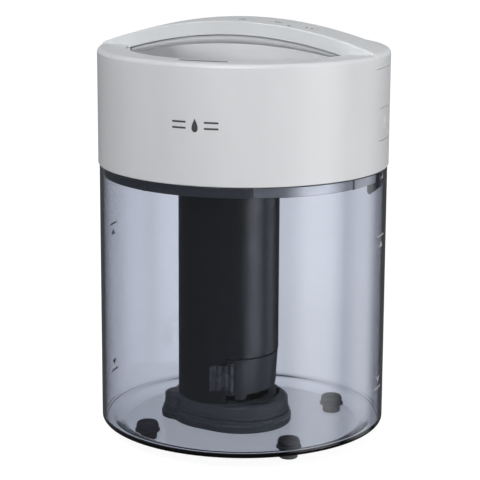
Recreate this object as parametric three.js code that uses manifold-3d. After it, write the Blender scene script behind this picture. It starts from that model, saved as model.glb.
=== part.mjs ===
// Drop-in ultrasonic cool mist humidifier: a smoky water tank on four rubber feet, and a round head
// that carries the handle, the controls, the blower and a column that reaches down into the water.
// Millimetres, +Z up. The origin is on the table, below the middle of the tank. The front faces -Y.
import * as THREE from 'three';
import { mergeVertices } from 'three/addons/utils/BufferGeometryUtils.js';
import Module from 'manifold-3d';

const wasm = await Module();
wasm.setup();

// Driving dimensions of the tank.
const GAP = 0.3;
const TANK_R = 107;
const TANK_WALL = 2.5;
const TANK_TOP = 207.2;
const RIM_RING_Z = 10.8;
const PAN_R = 89.2;
const PAN_Z = 5;
const FLOOR_Z = 7.5;
const FOOT_CIRCLE_R = 78.4;
const FOOT_HOLE_R = 5.5;

// Driving dimensions of the head.
const HEAD_R = 108;
const HEAD_WALL = 2.5;
const HEAD_BOTTOM = 207.6;
const HEAD_TOP = 293;
const BOWL_R = 86.7;
const BOWL_FLOOR_Z = 250;
const CREST_Z = 313.3;
const ARCH_RISE = 20.4;
const SEAM_Z = 303.2;
const SEAM_RISE = 20.8;
const GRIP_Z = 295.6;
const GRIP_RISE = 15.6;
const HANDLE_HALF = 19.4;
const WRAP_HALF = 18.4;
const WRAP_Z = 283;
const PLATE_TOP = 210.2;
const SKIRT_R = 103.4;
const SKIRT_Z = 199.4;

// Driving dimensions of the column that hangs from the head.
const COLUMN_X = -11.3;
const SLEEVE_R = 38.1;
const SLEEVE_WALL = 2;
const SLEEVE_Z = 28.6;
const DOOR_TOP = 63.4;
const DOOR_Z = 35;
const DOOR_FROM = 17;
const DOOR_TO = 140;
const BASE_Z = 8;
const TRAY_STEP_Z = 13.8;
const TRAY_TOP = 17;
const BASE_TOP = 28.2;
const BASE_WALL = 2.2;
const MIST_TUBE_R = 16;

// The outline of the base, seen from above: chamber, sleeve flange and float lobe, about the column's axis.
const BASE_LOBES = [
  { x: 12, y: -5, r: 38.6 },
  { x: -2, y: 3, r: 43.6 },
  { x: -36, y: -13, r: 13 },
];
const FLOAT = BASE_LOBES[2];

// Driving dimensions of what moves.
const BUTTON_HALF = 16.4;
const BUTTON_Z = [230.4, 253.8];
const BUTTON_CORNER = 6;
const KEY_R = 6.4;
const KEYS = [
  { name: 'light_key', x: 0, y: -3 },
  { name: 'power_key', x: 27, y: -1.5 },
  { name: 'mist_key', x: 51, y: -2.5 },
];
const LENS = { x: 38.5, y: -12, r: 1.6 };
const BLOWER = { x: 54, y: 0, r: 30, z0: 212, z1: 238 };
const INLET_Z = 222;

const SMOOTH = 48;
const ROUND = 32;
const SMALL = 10;

const material = (color, roughness, metalness = 0) =>
  new THREE.MeshStandardMaterial({ color, roughness, metalness });
const white = material(0xe2e5e8, 0.35);
const whiteCap = material(0xe9eef0, 0.3);
const charcoal = material(0x2b2d33, 0.45);
const rubber = material(0x303134, 0.8);
const smoke = new THREE.MeshStandardMaterial({
  color: 0x9aa0b4, roughness: 0.1, transparent: true, opacity: 0.45,
});
const steel = material(0xb9bcc0, 0.3, 1);
const board = material(0x1f5a36, 0.6);
const silicone = material(0xc9c5bb, 0.7);
const foam = material(0x4a4d52, 0.95);
const lensGreen = material(0x9fe0c8, 0.2);

// --- Solids -------------------------------------------------------------------------------------

// A closed three.js geometry as a solid, with its faces pointing out.
function solid(geometry) {
  const bare = geometry.clone();
  bare.deleteAttribute('normal');
  bare.deleteAttribute('uv');
  const merged = mergeVertices(bare, 1e-4);
  const index = [...merged.index.array];
  const kept = [];
  for (let i = 0; i < index.length; i += 3) {
    const [a, b, c] = index.slice(i, i + 3);
    if (a !== b && b !== c && c !== a) kept.push(a, b, c);
  }
  const vertProperties = new Float32Array(merged.attributes.position.array);
  const body = (list) => new wasm.Manifold(
    new wasm.Mesh({ numProp: 3, vertProperties, triVerts: new Uint32Array(list) }));
  const made = body(kept);
  return made.volume() > 0 ? made : body(kept.reverse());
}

const join = (...bodies) => bodies.reduce((sum, next) => sum.add(next));
const cut = (body, ...tools) => tools.reduce((rest, tool) => rest.subtract(tool), body);

// A ring or disc turned about the Z axis from a profile of [radius, height] points.
function turned(profile, segments = ROUND) {
  const first = profile[0];
  const last = profile[profile.length - 1];
  const onAxis = first[0] === 0 && last[0] === 0;
  const closed = onAxis ? profile : [...profile, first];
  const points = closed.map(([r, z]) => new THREE.Vector2(r, z));
  return solid(new THREE.LatheGeometry(points, segments).rotateX(Math.PI / 2));
}

function disc(r, z0, z1, x = 0, y = 0, segments = SMALL) {
  const geometry = new THREE.CylinderGeometry(r, r, z1 - z0, segments);
  return solid(geometry.rotateX(Math.PI / 2).translate(x, y, (z0 + z1) / 2));
}

function tube(r0, r1, z0, z1, segments = ROUND) {
  return turned([[r0, z0], [r1, z0], [r1, z1], [r0, z1]], segments);
}

function block([x0, x1], [y0, y1], [z0, z1]) {
  const geometry = new THREE.BoxGeometry(x1 - x0, y1 - y0, z1 - z0);
  return solid(geometry.translate((x0 + x1) / 2, (y0 + y1) / 2, (z0 + z1) / 2));
}

// An outline drawn in XY, raised from z0 to z1.
function raised(shape, z0, z1, curveSegments = SMALL) {
  const geometry = new THREE.ExtrudeGeometry(shape, { depth: z1 - z0, bevelEnabled: false, curveSegments });
  return solid(geometry.translate(0, 0, z0));
}

// An outline drawn in XZ, spread along Y from y0 to y1.
function spread(shape, y0, y1, curveSegments = SMALL) {
  const geometry = new THREE.ExtrudeGeometry(shape, { depth: y1 - y0, bevelEnabled: false, curveSegments });
  return solid(geometry.rotateX(Math.PI / 2).translate(0, y1, 0));
}

// A piece of a ring between two azimuths, in degrees from the front (-Y) towards +X.
function sector(r0, r1, from, to, z0, z1, curveSegments = SMALL) {
  const a = THREE.MathUtils.degToRad(from - 90);
  const b = THREE.MathUtils.degToRad(to - 90);
  const shape = new THREE.Shape();
  shape.absarc(0, 0, r1, a, b, false);
  shape.absarc(0, 0, r0, b, a, true);
  shape.closePath();
  return raised(shape, z0, z1, curveSegments);
}

function polygon(points) {
  const shape = new THREE.Shape();
  points.forEach(([x, y], i) => (i ? shape.lineTo(x, y) : shape.moveTo(x, y)));
  shape.closePath();
  return shape;
}

// A point at a radius and an azimuth, in degrees from the front towards +X.
function polar(r, azimuth) {
  const a = THREE.MathUtils.degToRad(azimuth);
  return [r * Math.sin(a), -r * Math.cos(a)];
}

// --- Scene graph --------------------------------------------------------------------------------

const humidifier = new THREE.Group();
const head = new THREE.Group();
const column = new THREE.Group();
column.position.x = COLUMN_X;
head.add(column);
humidifier.add(head);

function place(parent, name, body, finish, x = 0, y = 0, z = 0) {
  const { vertProperties, triVerts } = body.getMesh();
  const geometry = new THREE.BufferGeometry();
  geometry.setAttribute('position', new THREE.BufferAttribute(vertProperties, 3));
  geometry.setIndex(new THREE.BufferAttribute(triVerts, 1));
  geometry.computeVertexNormals();
  const mesh = new THREE.Mesh(geometry, finish);
  mesh.name = name;
  mesh.position.set(x, y, z);
  parent.add(mesh);
}

// --- Tank and feet ------------------------------------------------------------------------------

// The floor's middle is a shallow pan, lower than the ring at its edge. A lug at each side is for a latch.
function tank() {
  const inner = TANK_R - TANK_WALL;
  let body = turned([
    [0, PAN_Z], [PAN_R, PAN_Z], [PAN_R + 4, RIM_RING_Z - 2.4], [PAN_R + 7, RIM_RING_Z],
    [TANK_R - 5, RIM_RING_Z], [TANK_R - 1.5, RIM_RING_Z + 1.5], [TANK_R, RIM_RING_Z + 5],
    [TANK_R, TANK_TOP], [inner, TANK_TOP], [inner, RIM_RING_Z + 6], [inner - 2.5, RIM_RING_Z + 2.7],
    [PAN_R + 6, RIM_RING_Z + 2.5], [PAN_R + 2.6, RIM_RING_Z], [PAN_R - 1, FLOOR_Z], [0, FLOOR_Z],
  ], SMOOTH);
  const lugDepth = 1.5;
  for (const side of [90, 270]) {
    const lug = sector(inner - lugDepth, inner + 1, side - 7, side + 7, TANK_TOP - 10, TANK_TOP - 7.5, 4);
    body = join(body, lug);
  }
  for (const azimuth of [45, 135, 225, 315]) {
    const [x, y] = polar(FOOT_CIRCLE_R, azimuth);
    body = cut(body, disc(FOOT_HOLE_R, 0, 20, x, y));
  }
  return body;
}

// A rubber plug pushed through the floor: a pad below, a neck in the hole, a flange and a knob above.
function foot() {
  return turned([
    [0, 0], [6.2, 0], [6.9, 0.8], [6.9, PAN_Z - GAP], [FOOT_HOLE_R - GAP, PAN_Z - GAP],
    [FOOT_HOLE_R - GAP, FLOOR_Z + GAP], [9.2, FLOOR_Z + GAP], [9.2, FLOOR_Z + 2], [8.1, FLOOR_Z + 2.4],
    [8.1, FLOOR_Z + 6.6], [7, FLOOR_Z + 7.6], [0, FLOOR_Z + 7.8],
  ], 12);
}

place(humidifier, 'tank', tank(), smoke);
[45, 135, 225, 315].forEach((azimuth, i) => {
  place(humidifier, `foot_${i + 1}`, foot(), rubber, ...polar(FOOT_CIRCLE_R, azimuth), 0);
});

// --- Head housing -------------------------------------------------------------------------------

const BOSS_R = 96.5;
const BOSS_AZIMUTHS = [35, 145, 215, 325];
const VENT_AZIMUTHS = [190, 194, 198, 202, 206, 210];
const SCREW_HOLE_R = 1.8;

// The window of a release button: a rounded rectangle in YZ, cut or filled along X.
function buttonBlock(x0, x1, grow) {
  const half = BUTTON_HALF + grow;
  const low = BUTTON_Z[0] - grow;
  const high = BUTTON_Z[1] + grow;
  const r = BUTTON_CORNER + grow;
  const shape = new THREE.Shape();
  shape.absarc(half - r, low + r, r, -Math.PI / 2, 0, false);
  shape.absarc(half - r, high - r, r, 0, Math.PI / 2, false);
  shape.absarc(r - half, high - r, r, Math.PI / 2, Math.PI, false);
  shape.absarc(r - half, low + r, r, Math.PI, Math.PI * 1.5, false);
  shape.closePath();
  const geometry = new THREE.ExtrudeGeometry(shape, { depth: x1 - x0, bevelEnabled: false, curveSegments: 4 });
  return solid(geometry.rotateX(Math.PI / 2).rotateZ(Math.PI / 2).translate(x0, 0, 0));
}

function headShell() {
  const inner = HEAD_R - HEAD_WALL;
  const lip = BOWL_R + 3.1;
  let body = turned([
    [inner, HEAD_BOTTOM], [HEAD_R, HEAD_BOTTOM], [HEAD_R, HEAD_TOP - 3.4], [HEAD_R - 1, HEAD_TOP - 1],
    [HEAD_R - 3.4, HEAD_TOP], [lip, HEAD_TOP], [lip, HEAD_TOP - 2.8], [inner - 2, HEAD_TOP - 2.8],
    [inner, HEAD_TOP - 5],
  ], SMOOTH);
  for (const azimuth of BOSS_AZIMUTHS) {
    const [x, y] = polar(BOSS_R, azimuth);
    const boss = join(
      disc(4, PLATE_TOP + GAP, 230, x, y),
      sector(BOSS_R, inner + 0.5, azimuth - 1, azimuth + 1, PLATE_TOP + GAP, 226, 1));
    body = join(body, cut(boss, disc(SCREW_HOLE_R, 205, 222, x, y, 12)));
  }
  const sides = [[HEAD_R - 8, HEAD_R + 4], [-HEAD_R - 4, -HEAD_R + 8]];
  for (const [x0, x1] of sides) {
    body = cut(body, buttonBlock(x0, x1, 0.4));
  }
  const wrapHalf = WRAP_HALF + GAP;
  body = cut(body,
    cut(block([-HEAD_R - 2, HEAD_R + 2], [-wrapHalf, wrapHalf], [WRAP_Z - GAP, HEAD_TOP + 2]),
      disc(HEAD_R - 5, 200, 300, 0, 0, SMOOTH)));
  const fingerSlot = sector(93.4, 95.4, -10.6, 11.6, HEAD_TOP - 4, HEAD_TOP + 1, 6);
  const socketHole = disc(5.6, -HEAD_R - 5, -100, 0, INLET_Z).rotate([90, 0, 0]);
  body = cut(body, fingerSlot, socketHole);
  for (const azimuth of VENT_AZIMUTHS) {
    body = cut(body, sector(100, 112, azimuth - 0.8, azimuth + 0.8, 224, 243, 1));
  }
  return body;
}

// The dish in the top of the head. Mist comes up through the hole in its floor.
function topBowl() {
  const lip = BOWL_R + 2.8;
  const bowl = turned([
    [0, BOWL_FLOOR_Z - 2], [60, BOWL_FLOOR_Z - 2], [73, BOWL_FLOOR_Z + 3.5], [81.5, BOWL_FLOOR_Z + 15],
    [84.5, BOWL_FLOOR_Z + 28], [85.2, HEAD_TOP - 3.4], [BOWL_R + 1, HEAD_TOP - 1.6], [lip, HEAD_TOP - 1.6],
    [lip, HEAD_TOP], [BOWL_R, HEAD_TOP], [BOWL_R - 2.4, HEAD_TOP - 2.4], [82.5, BOWL_FLOOR_Z + 28],
    [79.5, BOWL_FLOOR_Z + 16.4], [71.6, BOWL_FLOOR_Z + 5.4], [59.4, BOWL_FLOOR_Z], [0, BOWL_FLOOR_Z],
  ], ROUND);
  return cut(bowl, disc(20, 240, 260, COLUMN_X, 0, 32));
}

place(head, 'head_shell', headShell(), white);
place(head, 'top_bowl', topBowl(), white);

// --- Handle and controls ------------------------------------------------------------------------

// Height of an arched line that drops by rise from its middle to the head's side.
const archHeight = (top, rise, x) => top - rise * (x / HEAD_R) ** 2;

// A region in XZ below the crest of the handle and above a lower arch, out to a half length.
function archRegion(half, top, rise, bottom, bottomRise, floor) {
  const shape = new THREE.Shape();
  const steps = 12;
  for (let i = 0; i <= steps; i += 1) {
    const x = half * (1 - (2 * i) / steps);
    const z = archHeight(top, rise, x);
    if (i) shape.lineTo(x, z);
    else shape.moveTo(x, z);
  }
  for (let i = 0; i <= steps; i += 1) {
    const x = half * ((2 * i) / steps - 1);
    shape.lineTo(x, Math.max(archHeight(bottom, bottomRise, x), floor));
  }
  shape.closePath();
  return shape;
}

const CAP_FLOOR = HEAD_TOP + 0.4;
const POCKET = { x0: -12, x1: 60, half: 14.5, skin: 2.5 };

// The top of the handle: an arch over the bowl whose ends wrap down over the sides of the head.
function handleCap() {
  const half = HEAD_R - 4.2;
  const arch = spread(archRegion(half, CREST_Z, ARCH_RISE, SEAM_Z, SEAM_RISE, CAP_FLOOR),
    -HANDLE_HALF, HANDLE_HALF);
  const ends = cut(
    spread(archRegion(HEAD_R, CREST_Z, ARCH_RISE, WRAP_Z, 0, WRAP_Z), -WRAP_HALF, WRAP_HALF),
    disc(HEAD_R - 4.5, 200, 330, 0, 0, SMOOTH));
  const outside = tube(HEAD_R, HEAD_R + 20, 200, 330, SMOOTH);
  const pocketTop = CREST_Z - POCKET.skin;
  const pocket = spread(archRegion(HEAD_R, pocketTop, ARCH_RISE, 280, 0, 280), -POCKET.half, POCKET.half)
    .intersect(block([POCKET.x0, POCKET.x1], [-POCKET.half, POCKET.half], [280, 320]));
  let body = cut(join(arch, ends), outside, pocket, disc(LENS.r + GAP, 290, 320, LENS.x, LENS.y));
  for (const key of KEYS) {
    body = cut(body, disc(KEY_R + 0.4, 290, 320, key.x, key.y, 16));
  }
  return body;
}

// The rounded underside of the handle, which the fingers close on.
function handleGrip() {
  const half = BOWL_R - 2.2;
  const layers = [[17.6, 3.2], [15.8, 1.2], [12.5, 0]];
  const slabs = layers.map(([width, lift]) => spread(
    archRegion(half + 6, SEAM_Z - 0.4, SEAM_RISE, GRIP_Z + lift, GRIP_RISE, 270), -width, width));
  const under = spread(archRegion(HEAD_R, CAP_FLOOR - 0.4, 0, 270, 0, 270), -20, 20);
  const high = spread(archRegion(71, SEAM_Z - 0.4, SEAM_RISE, 270, 0, 270), -20, 20);
  const wall = disc(half - 2.2, 285, 310, 0, 0, SMOOTH);
  return join(...slabs).intersect(join(under, high)).intersect(wall);
}

// A round key, flush with the crest of the handle.
function key(spec) {
  const below = spread(archRegion(HEAD_R, CREST_Z, ARCH_RISE, 280, 0, 280), -HANDLE_HALF, HANDLE_HALF);
  return disc(KEY_R, 306.2, 320, spec.x, spec.y, 16).intersect(below);
}

function indicatorLens() {
  const below = spread(archRegion(HEAD_R, CREST_Z, ARCH_RISE, 280, 0, 280), -HANDLE_HALF, HANDLE_HALF);
  return disc(LENS.r, 307.6, 320, LENS.x, LENS.y, 12).intersect(below);
}

// The circuit board under the keys.
function controlBoard() {
  const keySwitches = KEYS.map(({ x, y }) => block([x - 2, x + 2], [y - 2, y + 2], [304.6, 305.2]));
  return join(block([-9, 56], [-13, 13], [303.4, 304.8]), ...keySwitches);
}

place(head, 'handle_cap', handleCap(), whiteCap);
place(head, 'handle_grip', handleGrip(), white);
for (const spec of KEYS) {
  place(head, spec.name, key(spec), whiteCap);
}
place(head, 'indicator_lens', indicatorLens(), lensGreen);
place(head, 'control_board', controlBoard(), board);

// --- Release buttons, latches and springs -------------------------------------------------------

const HOOK_X = 98.5;
const HOOK_HALF = 13.6;

// A button with its stem, for the +X side. The other side is the same piece turned half round.
function releaseButton() {
  const face = buttonBlock(90, HEAD_R + 2, 0)
    .intersect(tube(HEAD_R - 2.4, HEAD_R - 0.2, 200, 300, SMOOTH * 2));
  const stem = block([HOOK_X + 3, HEAD_R - 2], [-6, 6], [236, 247]);
  return join(face, stem);
}

// The arm below the stem reaches down through the plate, with a nose that catches under the tank's lug.
function latchHook() {
  const arm = polygon([
    [HOOK_X, 248], [HOOK_X, 193], [HOOK_X + 1.6, 191.2], [HOOK_X + 4, 193.6],
    [HOOK_X + 4, 195.8], [HOOK_X + 2.6, 196.2], [HOOK_X + 2.6, 248],
  ]);
  return spread(arm, -HOOK_HALF, HOOK_HALF);
}

// A short coil spring between the hook and a post of the plate.
function releaseSpring() {
  const turns = 4;
  const x0 = 89.2;
  const x1 = HOOK_X - GAP;
  class Coil extends THREE.Curve {
    getPoint(t, target = new THREE.Vector3()) {
      const a = 2 * Math.PI * turns * t;
      return target.set(x0 + 0.5 + t * (x1 - x0 - 1), 3 * Math.cos(a), 241.5 + 3 * Math.sin(a));
    }
  }
  const wire = new THREE.Shape();
  wire.absarc(0, 0, 0.45, 0, Math.PI * 2, false);
  return solid(new THREE.ExtrudeGeometry(wire, {
    steps: 30, extrudePath: new Coil(), bevelEnabled: false, curveSegments: 2,
  }));
}

[['right', 0], ['left', 180]].forEach(([side, turn]) => {
  const group = new THREE.Group();
  group.rotation.z = THREE.MathUtils.degToRad(turn);
  head.add(group);
  place(group, `release_button_${side}`, releaseButton(), white);
  place(group, `latch_hook_${side}`, latchHook(), charcoal);
  place(group, `release_spring_${side}`, releaseSpring(), steel);
});

// --- Plate under the head -----------------------------------------------------------------------

const COLUMN_SCREWS = [60, 180, 300];
const COLUMN_SCREW_R = 41.3;

function chassisPlate() {
  const skirt = tube(SKIRT_R - 2.2, SKIRT_R, SKIRT_Z, HEAD_BOTTOM + 1, SMOOTH);
  let body = join(disc(HEAD_R - HEAD_WALL - 0.5, HEAD_BOTTOM, PLATE_TOP, 0, 0, SMOOTH), skirt);
  for (let azimuth = 22.5; azimuth < 360; azimuth += 45) {
    body = join(body,
      sector(SKIRT_R - 1, SKIRT_R + 0.5, azimuth - 0.6, azimuth + 0.6, SKIRT_Z, HEAD_BOTTOM + 0.5, 1));
  }
  for (const side of [-1, 1]) {
    const slot = [HOOK_X - 4.2, HEAD_R].map((x) => x * side).sort((a, b) => a - b);
    body = cut(body, block(slot, [-HOOK_HALF - 0.7, HOOK_HALF + 0.7], [190, 215]));
    const post = [86.6, 88.9].map((x) => x * side).sort((a, b) => a - b);
    body = join(body, block(post, [-5, 5], [HEAD_BOTTOM + 1, 246]));
  }
  for (const azimuth of BOSS_AZIMUTHS) {
    body = cut(body, disc(SCREW_HOLE_R, 200, 215, ...polar(BOSS_R, azimuth), 12));
  }
  for (const azimuth of COLUMN_SCREWS) {
    const [x, y] = polar(COLUMN_SCREW_R, azimuth);
    body = cut(body, disc(SCREW_HOLE_R, 200, 215, COLUMN_X + x, y, 12));
  }
  const mistHole = disc(MIST_TUBE_R + 1, 200, 215, COLUMN_X, 0, 32);
  const airHole = disc(6, 200, 215, COLUMN_X + 27, 0);
  return cut(body, mistHole, airHole);
}

// A screw with its head down, its shank going up from the head.
function screw(headR, headH, shankR, length) {
  return turned([[0, 0], [headR, 0], [headR, headH], [shankR, headH], [shankR, length], [0, length]], 12);
}

place(head, 'chassis_plate', chassisPlate(), charcoal);
BOSS_AZIMUTHS.forEach((azimuth, i) => {
  place(head, `case_screw_${i + 1}`, screw(2.8, 2.1, 1.5, 13), steel,
    ...polar(BOSS_R, azimuth), HEAD_BOTTOM - 2.4);
});

// --- Blower, boards and power inlet -------------------------------------------------------------

const MOTOR_R = 10;

function blowerHousing() {
  const { r, z0, z1 } = BLOWER;
  const shell = turned([
    [4, z0], [r, z0], [r, z1], [15, z1], [15, z1 - 1.6], [r - 1.6, z1 - 1.6], [r - 1.6, z0 + 1.6],
    [4, z0 + 1.6],
  ], 28);
  return cut(shell, block([-r - 5, -r + 8], [-9, 9], [z0 + 4, z0 + 18]));
}

function blowerMotor() {
  const z = BLOWER.z0 + 1.9;
  return turned([[0, z], [MOTOR_R, z], [MOTOR_R, z + 8], [1.5, z + 8], [1.5, z + 15], [0, z + 15]], 16);
}

// A centrifugal fan wheel: a disc with a hub, and blades round its edge.
function blowerImpeller() {
  const z = BLOWER.z0 + 11;
  const blades = 12;
  let body = turned([[1.9, z], [24, z], [24, z + 1.4], [5, z + 1.4], [5, z + 6], [1.9, z + 6]], 24);
  for (let i = 0; i < blades; i += 1) {
    const blade = block([14.5, 23.4], [-0.5, 0.5], [z + 1, z + 12.5]).rotate([0, 0, (360 / blades) * i]);
    body = join(body, blade);
  }
  return body;
}

function driverBoard() {
  const base = block([-76, -34], [22, 60], [213, 214.6]);
  const capacitors = [[-42, 30], [-42, 42]].map(([x, y]) => disc(4, 214, 226, x, y));
  const coil = block([-60, -48], [48, 58], [214, 222]);
  return join(base, ...capacitors, coil);
}

function heatSink() {
  const fins = [0, 1, 2, 3, 4].map((i) => block([-74, -52], [25 + i * 4, 26.2 + i * 4], [216, 230]));
  return join(block([-74, -52], [25, 42.2], [214.9, 217]), ...fins);
}

// A barrel socket behind the head's back wall, its mouth flush with the wall.
function powerInlet() {
  const body = join(
    block([-7, 7], [89, 104], [INLET_Z - 7, INLET_Z + 7]),
    disc(5.2, -HEAD_R + 0.3, -103, 0, INLET_Z, 24).rotate([90, 0, 0]));
  const bore = disc(3.3, -HEAD_R - 1, -94, 0, INLET_Z, 20).rotate([90, 0, 0]);
  const pin = disc(0.9, -99.4, -93, 0, INLET_Z, 8).rotate([90, 0, 0]);
  return join(cut(body, bore), pin);
}

place(head, 'blower_housing', blowerHousing(), charcoal, BLOWER.x, BLOWER.y, 0);
place(head, 'blower_motor', blowerMotor(), steel, BLOWER.x, BLOWER.y, 0);
place(head, 'blower_impeller', blowerImpeller(), charcoal, BLOWER.x, BLOWER.y, 0);
place(head, 'driver_board', driverBoard(), board);
place(head, 'heat_sink', heatSink(), steel);
place(head, 'power_inlet', powerInlet(), charcoal);
place(head, 'intake_filter', sector(100.6, 104.8, 187, 213, 221, 246, 6), foam);

// --- Column: sleeve, mist tube and nozzle -------------------------------------------------------

const HINGE_R = SLEEVE_R + 2.9;
const HINGE_AZIMUTH = DOOR_TO + 1.5;
const PIN_R = 0.95;
const CLIP_R = SLEEVE_R + 2.3;
const CLIP_AZIMUTH = DOOR_FROM + 5.5;
const CLIP_Z = [39.6, 58.6];

function columnSleeve() {
  const inner = SLEEVE_R - SLEEVE_WALL;
  const top = HEAD_BOTTOM - GAP;
  let body = turned([
    [inner, SLEEVE_Z], [SLEEVE_R, SLEEVE_Z], [SLEEVE_R, top - 2.6], [44.6, top - 2.6], [44.6, top],
    [inner, top],
  ]);
  body = cut(body, sector(30, 45, DOOR_FROM, DOOR_TO, 20, DOOR_TOP));
  const [hx, hy] = polar(HINGE_R, HINGE_AZIMUTH);
  for (const [z0, z1] of [[DOOR_Z - 2.4, DOOR_Z + 0.6], [DOOR_TOP - 0.9, DOOR_TOP + 2]]) {
    const ear = join(disc(2.6, z0, z1, hx, hy),
      sector(SLEEVE_R - 1, HINGE_R, DOOR_TO + 0.3, DOOR_TO + 6, z0, z1, 1));
    body = join(body, ear);
  }
  body = cut(body, disc(PIN_R + GAP, 20, 80, hx, hy, 12));
  for (const azimuth of COLUMN_SCREWS) {
    body = cut(body, disc(SCREW_HOLE_R, 200, 210, ...polar(COLUMN_SCREW_R, azimuth), 12));
  }
  return body;
}

// The door over the nebuliser, with a barrel for its hinge and two ears for its clip.
function columnDoor() {
  const inner = SLEEVE_R - SLEEVE_WALL;
  const top = DOOR_TOP - 0.4;
  const from = DOOR_FROM + 0.7;
  const to = DOOR_TO - 3.7;
  const [hx, hy] = polar(HINGE_R, HINGE_AZIMUTH);
  const [cx, cy] = polar(CLIP_R, CLIP_AZIMUTH);
  const barrel = [DOOR_Z + 1, DOOR_TOP - 1.3];
  const leaf = join(
    sector(inner, SLEEVE_R - 0.3, to - 1, DOOR_TO - 0.7, ...barrel, 1),
    sector(SLEEVE_R - 1, HINGE_R, to - 0.3, DOOR_TO - 0.7, ...barrel, 1));
  let body = join(
    sector(inner, SLEEVE_R - 0.3, from, to, DOOR_Z, top),
    sector(inner, SLEEVE_R - 0.3, 27, 41, DOOR_Z - 3.6, DOOR_Z + 1, 4),
    disc(2.4, ...barrel, hx, hy),
    leaf);
  for (const [z0, z1] of [[CLIP_Z[0] - 2.7, CLIP_Z[0] - 0.5], [CLIP_Z[1] + 0.5, CLIP_Z[1] + 2.7]]) {
    body = join(body, disc(2.2, z0, z1, cx, cy),
      sector(SLEEVE_R - 1, CLIP_R, CLIP_AZIMUTH - 1.5, CLIP_AZIMUTH + 2.5, z0, z1, 1));
  }
  return cut(body, disc(PIN_R + GAP, 20, 80, hx, hy, 12), disc(PIN_R + GAP, 20, 80, cx, cy, 12));
}

// The clip that holds the door shut: a curved plate with two ribs, turning on its own two stubs.
function doorClip() {
  const [cx, cy] = polar(CLIP_R, CLIP_AZIMUTH);
  const from = DOOR_FROM - 18;
  return join(
    sector(SLEEVE_R + 0.4, SLEEVE_R + 2.2, from, CLIP_AZIMUTH, ...CLIP_Z, 6),
    sector(SLEEVE_R + 1, SLEEVE_R + 3.6, from, from + 2.4, ...CLIP_Z, 1),
    sector(SLEEVE_R + 1, SLEEVE_R + 3.6, from + 13, from + 15.4, ...CLIP_Z, 1),
    disc(1.8, ...CLIP_Z, cx, cy),
    disc(PIN_R, CLIP_Z[0] - 2.7, CLIP_Z[1] + 2.7, cx, cy, 12));
}

// The nozzle turns on the rim of the bowl's hole. Its outlet leans away from its middle.
function mistNozzle() {
  const floor = BOWL_FLOOR_Z + 0.4;
  const dome = turned([
    [17.4, floor - 5], [19.4, floor - 5], [19.4, floor], [24.5, floor], [24.5, floor + 1.6], [22.5, floor + 3],
    [20.6, floor + 9.5], [17, floor + 12], [0, floor + 12.6], [0, floor + 10.8], [16.4, floor + 10.2],
    [18.6, floor + 8.4], [17.4, floor + 1],
  ].reverse(), 28);
  const outlet = disc(6.5, 0, 30, 0, 0, 20).rotate([35, 0, 0]).translate([0, -3, floor - 2]);
  return cut(dome, outlet);
}

place(column, 'column_sleeve', columnSleeve(), charcoal);
place(column, 'mist_tube', tube(MIST_TUBE_R - 1.8, MIST_TUBE_R, 34, BOWL_FLOOR_Z - 3, 20), white);
place(column, 'mist_nozzle', mistNozzle(), whiteCap);
place(column, 'column_door', columnDoor(), charcoal);
place(column, 'door_clip', doorClip(), charcoal);
const hingePin = disc(PIN_R, DOOR_Z - 2.2, DOOR_TOP + 1.8, ...polar(HINGE_R, HINGE_AZIMUTH), 12);
place(column, 'door_hinge_pin', hingePin, steel);
COLUMN_SCREWS.forEach((azimuth, i) => {
  place(column, `column_screw_${i + 1}`, screw(2.8, 2.1, 1.5, 7), steel,
    ...polar(COLUMN_SCREW_R, azimuth), HEAD_BOTTOM - GAP - 2.6 - 2.4);
});

// --- Base: tray, housing, transducer and float --------------------------------------------------

const BASE_SCREWS = [{ x: 34, y: -20 }, { x: 10, y: 34 }, { x: -26, y: 28 }];

// The base's outline, drawn in by some distance, as a solid between two heights.
const lobed = (inset, z0, z1) => join(...BASE_LOBES.map(({ x, y, r }) => disc(r - inset, z0, z1, x, y, 24)));

function baseTray() {
  const posts = BASE_SCREWS.map(({ x, y }) => disc(3.8, BASE_Z, TRAY_TOP, x, y));
  const shell = cut(
    join(lobed(0, BASE_Z, TRAY_STEP_Z), lobed(1.1, TRAY_STEP_Z - 1, TRAY_TOP)),
    lobed(1.1 + BASE_WALL, BASE_Z + 2, TRAY_TOP + 1));
  const holes = BASE_SCREWS.flatMap(({ x, y }) => [
    disc(SCREW_HOLE_R, 0, 30, x, y, 12), disc(3.2, 0, BASE_Z + 2.6, x, y, 12)]);
  return cut(join(shell, ...posts), ...holes);
}

function baseHousing() {
  const bottom = TRAY_TOP + GAP;
  const posts = BASE_SCREWS.map(({ x, y }) => disc(3.6, bottom, BASE_TOP - 1, x, y));
  const shell = cut(lobed(2.4, bottom, BASE_TOP), lobed(2.4 + BASE_WALL, bottom - 1, BASE_TOP - 2));
  const holes = BASE_SCREWS.map(({ x, y }) => disc(SCREW_HOLE_R, 0, BASE_TOP - 3, x, y, 12));
  return cut(join(shell, ...posts), disc(31, 20, 40, 0, 0, 24), ...holes);
}

place(column, 'base_tray', baseTray(), charcoal);
place(column, 'base_housing', baseHousing(), charcoal);
place(column, 'transducer_disc', disc(12.4, 12.4, 13.4, 0, 0, 20), steel);
place(column, 'transducer_seal', tube(12.9, 15.2, 11.2, 14.6, 20), silicone);
place(column, 'transducer_retainer', tube(15.6, 20, BASE_Z + 2.4, 16, 20), charcoal);
place(column, 'level_float', tube(3.1, 7.4, 10.6, 17.2, 16), silicone, FLOAT.x, FLOAT.y, 0);
place(column, 'float_pin', disc(2.4, BASE_Z + 2.4, BASE_TOP - 2.4, 0, 0, 16), charcoal, FLOAT.x, FLOAT.y, 0);
BASE_SCREWS.forEach(({ x, y }, i) => {
  place(column, `base_screw_${i + 1}`, screw(2.8, 1.8, 1.4, 15), steel, x, y, BASE_Z + 0.5);
});

export default humidifier;
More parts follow.
